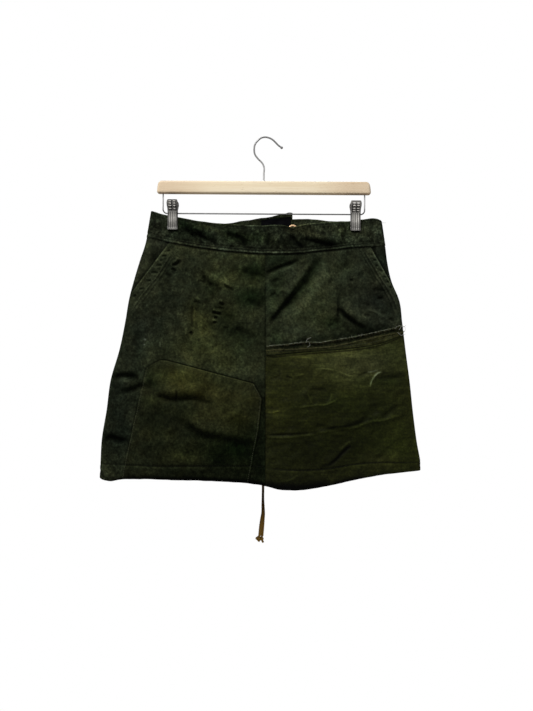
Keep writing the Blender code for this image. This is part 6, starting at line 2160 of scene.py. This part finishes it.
def make_fray(looks):
    wide = [
        frayed(WIDE_RAW_EDGE, WIDE_ALLOWANCE[0] + 0.4, 620, (0.3, 0.9), 0.0, 0.15),
        frayed(WIDE_RAW_EDGE, WIDE_ALLOWANCE[0] + 0.4, 46, (1.4, 3.4), 0.3, 0.12),
    ]
    piece("raw_edge_wide_fray", *joined(wide), looks["frayed_canvas"], "frayed_canvas")
    narrow = [
        frayed(NARROW_RAW_EDGE, NARROW_ALLOWANCE[0], 420, (0.7, 2.0), 0.1, 0.15),
        frayed(NARROW_RAW_EDGE, NARROW_ALLOWANCE[0], 160, (2.0, 4.0), 1.5, 0.17),
        frayed(WIDE_RAW_EDGE, WIDE_ALLOWANCE[0] + 0.5, 220, (1.5, 4.5), 2.6, 0.16),
    ]
    piece("raw_edge_narrow_fray", *joined(narrow), looks["thread_olive"], "frayed_canvas")
    loose = []
    for line, offset, radius in LOOSE_THREADS:
        flat = smooth_line(line, LOOSE_POINTS)
        points = on_cloth(FRONT, flat, offset + LOOSE_ARCH * np.sin(np.linspace(0.0, math.pi, LOOSE_POINTS)))
        loose.append(tubes(points[None], radius, 5))
    piece("loose_threads", *joined(loose), looks["thread_white"], "frayed_canvas")


# The hanger ------------------------------------------------------------------------------------
BAR_SIDES, BAR_SQUARENESS = 44, 0.3
BAR_END_RADII = (8.0, 3.4, 4.0)  # of the rounding at the bar's ends: above, below, front and back
BAR_INSETS = (0.0, 0.3, 0.9, 1.8, 3.0, 4.4, 6.0, 8.0, 11.0)
BAR_EVEN, BAR_SECTIONS = 165.0, 45  # the half length with evenly spaced sections, and how many
BAR_SLANT, BAR_SLANT_REACH = 1.4, 12.0
BAR_END_SHADE, BAR_END_REACH = (0.84, 0.78, 0.75), (70.0, 90.0)
# Painted shade along the bar's lower edge, which faces away from the light, and along its upper edge, which
# the lamp lights brightest.
BAR_LOW_PAINTED_SHADE, BAR_LOW_REACH = (0.52, 0.45, 0.36), 0.9
BAR_TOP_PAINTED_SHADE, BAR_TOP_REACH = (0.82, 0.8, 0.76), 2.6


def rounded_in(inset, radius):
    """How much a rounding of a radius takes off at a distance from the end."""
    left = max(0.0, radius - inset)
    return radius - math.sqrt(radius**2 - left**2)


def bar_rings():
    """Sections of the wooden bar along X: rounded oblongs that shrink towards its rounded ends."""
    half = 0.5 * BAR_LENGTH
    ends = [half - inset for inset in BAR_INSETS]
    places = sorted([-x for x in ends] + ends + list(np.linspace(-BAR_EVEN, BAR_EVEN, BAR_SECTIONS)))
    angles = 2.0 * math.pi * np.arange(BAR_SIDES) / BAR_SIDES
    ways = (np.cos(angles), np.sin(angles))
    y_share, z_share = (np.sign(way) * np.abs(way) ** BAR_SQUARENESS for way in ways)
    rings = []
    for x in places:
        above, below, beside = (rounded_in(half - abs(x), radius) for radius in BAR_END_RADII)
        reach = np.where(z_share > 0.0, 0.5 * BAR_HEIGHT - above, 0.5 * BAR_HEIGHT - below)
        z = BAR_TOP - 0.5 * BAR_HEIGHT + reach * z_share
        near_end = smooth((abs(x) - half + BAR_SLANT_REACH) / BAR_SLANT_REACH)
        slant = BAR_SLANT * near_end * (0.5 + 0.5 * z_share)
        out = HANGER_X + x - math.copysign(1.0, x) * slant
        rings.append(np.stack([out, (0.5 * BAR_DEPTH - beside) * y_share, z], axis=-1))
    return np.array(rings)


def bar_shade(points):
    """The bar is darker towards its ends, and has painted shade along its lower and upper edges."""
    near_end = smooth((np.abs(points[:, 0] - HANGER_X) - BAR_END_REACH[0]) / BAR_END_REACH[1])
    near_low = np.exp(-(((points[:, 2] - BAR_TOP + BAR_HEIGHT) / BAR_LOW_REACH) ** 2))
    near_top = np.exp(-(((points[:, 2] - BAR_TOP) / BAR_TOP_REACH) ** 2))
    shade = np.array(BAR_END_SHADE) ** near_end[:, None]
    shade *= np.array(BAR_LOW_PAINTED_SHADE) ** near_low[:, None] * np.array(BAR_TOP_PAINTED_SHADE) ** near_top[:, None]
    return shade


def make_bar(looks):
    rings = bar_rings()
    count, sides = rings.shape[:2]
    index = np.arange(count * sides).reshape(count, sides)
    after = np.roll(index, -1, axis=1)
    quads = np.stack([index[:-1], index[1:], after[1:], after[:-1]], axis=-1).reshape(-1, 4).tolist()
    faces = quads + [index[0].tolist(), index[-1, ::-1].tolist()]
    points = rings.reshape(-1, 3)
    look = looks["pale_wood"]
    piece("hanger_bar_wood", points, faces, look, "pale_wood", ["hanger_bar"], bar_shade(points))


BALL_OUT, BALL_RADIUS = 1.2, 2.2
COLLAR = ((-1.0, 3.0), (-0.3, 3.2), (0.6, 3.0), (1.4, 2.3), (2.0, 1.5))  # height above the bar, radius
# Painted shade: the hook is darker round its arc, which the lamp lights brightest, than down its stem.
HOOK_PAINTED_SHADES = [(-90.0, 1.3), (-55.0, 1.25), (-38.0, 0.9), (-22.0, 0.68), (5.0, 0.62)]  # z, its colour's share
WIRE_SHADES = [(-130.0, 0.4), (-124.0, 0.4), (-117.0, 1.0), (-80.0, 1.1)]


def shaded(points, rows):
    """A metal's colour by height, from a table of shares."""
    return curve(rows, points[:, 2])[:, None] * np.ones(3)


def make_hook(looks):
    line = smooth_line(HOOK, 150)
    path = np.stack([line[:, 0], np.zeros(len(line)), line[:, 1]], axis=-1)
    onwards = normalised(path[-1] - path[-2])
    angles = np.linspace(0.0, math.pi, 9)
    ball = path[-1] + onwards * (BALL_OUT - BALL_RADIUS * np.cos(angles))[:, None]
    collar = np.array([(HOOK[0][0], 0.0, BAR_TOP + above) for above, _ in COLLAR])
    parts = [
        tubes(path[None], HOOK_RADIUS, 16),
        tubes(ball[None], np.maximum(BALL_RADIUS * np.sin(angles), 0.05)[None], 16),
        tubes(collar[None], [radius for _, radius in COLLAR], 20),
    ]
    points, faces = joined(parts)
    look, tints = looks["bright_steel"], shaded(points, HOOK_PAINTED_SHADES)
    piece("hanger_hook_steel", points, faces, look, "bright_steel", ["hanger_hook"], tints)


WIRE_SHORT, WIRE_STRAIGHT = 0.5, 150.0


def wire_line():
    """Down from the bar, round a bend and along under it, and up again at the other end."""
    top = BAR_TOP - BAR_HEIGHT + WIRE_HOLE_DEPTH - WIRE_SHORT
    left = [(-WIRE_HALF_SPAN, z) for z in np.linspace(top, WIRE_Z + WIRE_BEND + 1.0, 10)]
    for angle in np.linspace(0.0, 0.5 * math.pi, 13):
        inwards, up = WIRE_BEND * (1 - math.cos(angle)), WIRE_BEND * (1 - math.sin(angle))
        left.append((-WIRE_HALF_SPAN + inwards, WIRE_Z + up))
    middle = [(x, WIRE_Z) for x in np.linspace(-WIRE_STRAIGHT, WIRE_STRAIGHT, 31)]
    right = [(-x, z) for x, z in reversed(left)]
    return np.array([(HANGER_X + x, 0.0, z) for x, z in left + middle + right])


def make_wire(looks):
    points, faces = tubes(wire_line()[None], WIRE_RADIUS, 12)
    look, tints = looks["bright_steel"], shaded(points, WIRE_SHADES)
    piece("hanger_wire_steel", points, faces, look, "bright_steel", ["hanger_wire"], tints)


JAW_WIDTHS = [  # z, half width of a clip's jaw
    (-105.6, 7.7),
    (-107.0, 8.4),
    (-121.0, 8.4),
    (-132.0, 8.2),
    (-150.0, 8.5),
    (-153.4, 8.4),
]
JAW_ROWS, JAW_COLUMNS = 120, 41
JAW_NEAREST = 2.9  # to the hanger's middle plane
JAW_SIDE, JAW_SIDE_TURN, JAW_SIDE_LOW, JAW_SIDE_FADE = 1.1, 1.5, -150.5, 4.0
BACK_JAW_WIDTH = 0.94  # of the front jaw's
JAW_SLOTS = {  # z of each row of slots
    LEFT: (-106.5, -109.8, -113.1, -117.0, -121.4),
    RIGHT: (-111.5, -115.3, -119.7, -123.0),
}
CELL_EDGE, CELL_FADE = 1.2, 0.4  # in half widths
JAW_CELLS = {LEFT: ((-3.3, 2.6), (4.1, 2.1)), RIGHT: ((-3.3, 2.3), (3.3, 2.3))}  # middle and half width
# Painted shadow in each slot and a painted highlight on the bar above it.
JAW_SLOT_HEIGHT, JAW_SLOT_DEPTH, JAW_SLOT_PAINTED_SHADOW = 0.85, -0.9, 0.03
JAW_BAR_ABOVE, JAW_BAR_HEIGHT, JAW_BAR_RISE, JAW_BAR_PAINTED_HIGHLIGHT = 1.75, 0.85, 0.25, 4.5
JAW_HOLLOW = {LEFT: 1.0, RIGHT: -1.0}  # the side of each cell that lies in shadow
JAW_HOLLOW_WIDTH, JAW_HOLLOW_PAST, JAW_HOLLOW_SHADE = 0.9, 1.5, 0.18
JAW_TINT = {LEFT: 0.8, RIGHT: 1.0}
JAW_SHARP = 35.0  # angle from which an edge is sharp
JAW_RIBS, JAW_RIB_WIDTH, JAW_RIB_HEIGHT = (-4.8, -1.7, 1.7, 4.8), 0.8, 0.4
# The grooves carry painted shade.
JAW_GROOVES, JAW_GROOVE_PAINTED_SHADE = (-7.6, -5.9, -3.0, 0.0, 3.0, 5.9, 7.8), 0.1
JAW_GROOVE_WIDTH = 0.62
JAW_RIB_TOP, JAW_RIB_FADE = -124.5, 1.5
# Painted shade on the plate's tilted top and flared lower end, which catch the light, and lighter between.
JAW_PAINTED_SHADES = [  # z, what the plate's colour is multiplied by
    (-105.6, 0.70),
    (-108.0, 0.74),
    (-124.0, 0.78),
    (-127.0, 1.20),
    (-146.0, 1.30),
    (-149.0, 0.85),
    (-153.4, 0.60),
]
# The lip's colour carries painted shade where the lamp catches it.
LIP_WIDTH, LIP_RADIUS, LIP_PAST, LIP_PAINTED_SHADE = 8.4, 0.75, 0.1, 0.8
LIP_THICK = (0.5, 1.0, 1.0, 1.0, 0.5)


def in_cell(across, up, half_width, half_height):
    """1 inside an oblong around its middle, falling to 0 just outside."""
    away = np.maximum(np.abs(across) / half_width, np.abs(up) / half_height)
    return smooth((CELL_EDGE - away) / CELL_FADE)


def make_jaw(name, x, face, looks):
    """A clip's jaw: a pressed plate with slots in its upper end, ribs, turned-in sides and a lip."""
    line = smooth_line(JAW, JAW_ROWS)
    across = np.linspace(-1.0, 1.0, JAW_COLUMNS)
    ways = np.gradient(line, axis=0)
    out = normalised(np.stack([-ways[:, 1], ways[:, 0]], axis=-1))
    half = curve(JAW_WIDTHS, line[:, 1]) * (BACK_JAW_WIDTH if face == BACK else 1.0)
    u = across[None] * half[:, None]
    z_of = line[:, 1][:, None] + 0.0 * u
    ribbed = smooth((JAW_RIB_TOP - z_of) / JAW_RIB_FADE)
    ribs = sum(JAW_RIB_HEIGHT * np.exp(-(((u - rib) / JAW_RIB_WIDTH) ** 2)) for rib in JAW_RIBS) * ribbed
    grooves = sum(np.exp(-(((u - groove) / JAW_GROOVE_WIDTH) ** 2)) for groove in JAW_GROOVES) * ribbed
    at_side = smooth((np.abs(u) - half[:, None] + JAW_SIDE) / JAW_SIDE)
    turned = -JAW_SIDE_TURN * at_side * smooth((z_of - JAW_SIDE_LOW) / JAW_SIDE_FADE)
    # The plate's colour: painted shade in the grooves, the slots and the shadowed side of each cell, painted
    # highlights on the bars between the slots, and painted shade on the ends that catch the light.
    dents, shade = 0.0 * u, JAW_GROOVE_PAINTED_SHADE**grooves * curve(JAW_PAINTED_SHADES, line[:, 1])[:, None]
    side = LEFT if x < 0.0 else RIGHT
    for middle, width in JAW_CELLS[side]:
        for row in JAW_SLOTS[side]:
            slot = in_cell(u - middle, z_of - row, width, JAW_SLOT_HEIGHT)
            bar = in_cell(u - middle, z_of - row - JAW_BAR_ABOVE, width, JAW_BAR_HEIGHT)
            dents = dents + JAW_SLOT_DEPTH * slot + JAW_BAR_RISE * bar
            shade = shade * JAW_SLOT_PAINTED_SHADOW**slot * JAW_BAR_PAINTED_HIGHLIGHT**bar
        rows = JAW_SLOTS[side]
        hollow = u - middle - JAW_HOLLOW[side] * width
        tall = 0.5 * (rows[0] - rows[-1]) + JAW_HOLLOW_PAST
        from_middle = z_of - 0.5 * (rows[0] + rows[-1])
        shade = shade * JAW_HOLLOW_SHADE ** in_cell(hollow, from_middle, JAW_HOLLOW_WIDTH, tall)
    shade = shade * JAW_TINT[side]
    skins = []
    for thick, form in ((0.5, ribs + turned + dents), (-0.5, ribs + turned)):
        offset = thick * JAW_THICKNESS + form
        away = line[:, 0][:, None] + out[:, 0][:, None] * offset
        z = line[:, 1][:, None] + out[:, 1][:, None] * offset
        skins.append(np.stack([x + u, face * np.maximum(away, JAW_NEAREST), z], axis=-1).reshape(-1, 3))
    rows, columns = u.shape
    faces = wall_faces(rows, columns, list(range(rows)), list(range(columns)))
    if face == BACK:
        faces = [corners[::-1] for corners in faces]
    lip = clip_lip(x, face)
    points, faces = joined([(np.concatenate(skins), faces), lip])
    lip_painted_shade = np.full(len(lip[0]), LIP_PAINTED_SHADE * JAW_TINT[side])
    tints = np.concatenate([shade.ravel(), shade.ravel(), lip_painted_shade])[:, None] * np.ones(3)
    piece(f"{name}_steel", points, faces, looks["clip_steel"], "clip_steel", [name], tints, JAW_SHARP)


def clip_lip(x, face):
    """The jaw's turned lip, a round rod along its lower end."""
    out, z = JAW[-1]
    steps = np.linspace(-LIP_WIDTH, LIP_WIDTH, len(LIP_THICK))
    path = np.array([(x + step, face * (out + LIP_PAST), z - LIP_PAST) for step in steps])
    return tubes(path[None], np.array(LIP_THICK) * LIP_RADIUS, 10)


SPRING_LEG = (9.0, 6.0, 3.0, 1.0)  # heights above the wire, down to the coil


def make_spring(name, x, looks):
    """A clip's coil spring on the wire, with a leg at each end that bears on a jaw."""
    turn = np.linspace(0.0, 2.0 * math.pi * SPRING_TURNS, 26 * SPRING_TURNS)
    along = x + SPRING_LENGTH * (turn / turn[-1] - 0.5)
    coil = np.stack([along, SPRING_RADIUS * np.cos(turn), WIRE_Z + SPRING_RADIUS * np.sin(turn)], axis=-1)
    first, last = (
        np.array([(end[0], SPRING_RADIUS, WIRE_Z + z) for z in SPRING_LEG]) for end in (coil[0], coil[-1])
    )
    form = tubes(np.concatenate([first, coil, last[::-1]])[None], SPRING_WIRE, 8, (1.0, 0.0, 0.0))
    piece(f"{name}_steel", *form, looks["clip_steel"], "clip_steel", [name])


def make_hanger(looks):
    make_bar(looks)
    make_hook(looks)
    make_wire(looks)
    for side, x in CLIP_X.items():
        make_jaw(f"clip_front_{side}", x, FRONT, looks)
        make_jaw(f"clip_back_{side}", x, BACK, looks)
        make_spring(f"clip_spring_{side}", x, looks)


# Camera, light and floor -----------------------------------------------------------------------
FLOOR_Z, FLOOR_SIZE = -1900.0, 3000.0
LAMPS = [  # name, place in metres, size in metres, power in watts
    ("key", (-0.8, -0.95, 1.5), 0.8, 50.0),
    ("fill", (1.6, -1.6, 0.1), 1.8, 4.0),
    ("back", (0.2, 1.9, 0.9), 1.6, 14.0),
]
AIM = (0.0, 0.0, -0.36)
SKY, HORIZON, GROUND = 0.5, 0.28, 0.12


def make_camera():
    lens = bpy.data.cameras.new("camera")
    lens.lens, lens.sensor_width = CAMERA_LENS, CAMERA_SENSOR
    lens.clip_start, lens.clip_end = 0.01, 50.0
    camera = bpy.data.objects.new("camera", lens)
    camera.location = [value * MM for value in CAMERA_AT]
    camera.rotation_euler = (math.radians(90.0), math.radians(CAMERA_LEAN), 0.0)
    bpy.context.collection.objects.link(camera)
    bpy.context.scene.camera = camera


def make_lamps():
    for name, place, size, power in LAMPS:
        lamp = bpy.data.lights.new(name, "AREA")
        lamp.shape, lamp.size, lamp.energy = "DISK", size, power
        holder = bpy.data.objects.new(name, lamp)
        holder.location = place
        way = np.array(AIM) - np.array(place)
        yaw = math.atan2(way[0], -way[1])
        pitch = math.atan2(math.hypot(way[0], way[1]), -way[2])
        holder.rotation_euler = (pitch, 0.0, yaw + math.pi)
        bpy.context.collection.objects.link(holder)


def make_world():
    """White to the camera, and a soft sky that is brighter overhead for everything else."""
    world = bpy.data.worlds.new("studio")
    world.use_nodes = True
    bpy.context.scene.world = world
    nodes, links = world.node_tree.nodes, world.node_tree.links
    soft = nodes["Background"]
    place = nodes.new("ShaderNodeTexCoord").outputs["Generated"]
    split = nodes.new("ShaderNodeSeparateXYZ")
    ramp = nodes.new("ShaderNodeValToRGB")
    stops = ramp.color_ramp
    stops.elements[0].color = (GROUND, GROUND, GROUND, 1.0)
    stops.elements[1].color = (SKY, SKY, SKY, 1.0)
    middle = stops.elements.new(0.5)
    middle.color = (HORIZON, HORIZON, HORIZON, 1.0)
    lift = nodes.new("ShaderNodeMapRange")
    lift.inputs["From Min"].default_value = -1.0
    white = nodes.new("ShaderNodeBackground")
    mix = nodes.new("ShaderNodeMixShader")
    rays = nodes.new("ShaderNodeLightPath")
    links.new(place, split.inputs[0])
    links.new(split.outputs["Z"], lift.inputs["Value"])
    links.new(lift.outputs["Result"], ramp.inputs["Fac"])
    links.new(ramp.outputs["Color"], soft.inputs["Color"])
    links.new(rays.outputs["Is Camera Ray"], mix.inputs["Fac"])
    links.new(soft.outputs[0], mix.inputs[1])
    links.new(white.outputs[0], mix.inputs[2])
    links.new(mix.outputs[0], nodes["World Output"].inputs["Surface"])
    white.inputs["Color"].default_value = (1.0, 1.0, 1.0, 1.0)


def make_floor():
    half = 0.5 * FLOOR_SIZE
    mesh = bpy.data.meshes.new("floor")
    corners = [(-half, -half), (half, -half), (half, half), (-half, half)]
    mesh.from_pydata([(x * MM, y * MM, FLOOR_Z * MM) for x, y in corners], [], [[0, 1, 2, 3]])
    mesh.materials.append(floor_look())
    floor = bpy.data.objects.new("floor", mesh)
    bpy.context.collection.objects.link(floor)


def main():
    bpy.context.scene.view_settings.view_transform = "Standard"
    make_camera()
    make_world()
    make_lamps()
    make_floor()
    looks = make_looks()
    make_cords(looks)
    make_waistbands(looks["green_twill"])
    make_front_left(looks["green_twill"])
    make_front_right_upper(looks["green_twill"])
    make_front_right_lower(looks["olive_canvas"])
    for side in (LEFT, RIGHT):
        make_facing(side, looks["green_twill"])
        make_back(side, looks["green_twill"])
    make_cargo_pocket(looks["green_twill"])
    make_allowance("raw_edge_wide", WIDE_RAW_EDGE, looks["green_twill"], "frayed_canvas")
    make_allowance("raw_edge_narrow", NARROW_RAW_EDGE, looks["green_twill"], "green_twill")
    make_label(looks["black_label"])
    make_stitches(looks)
    make_fray(looks)
    make_hanger(looks)


main()
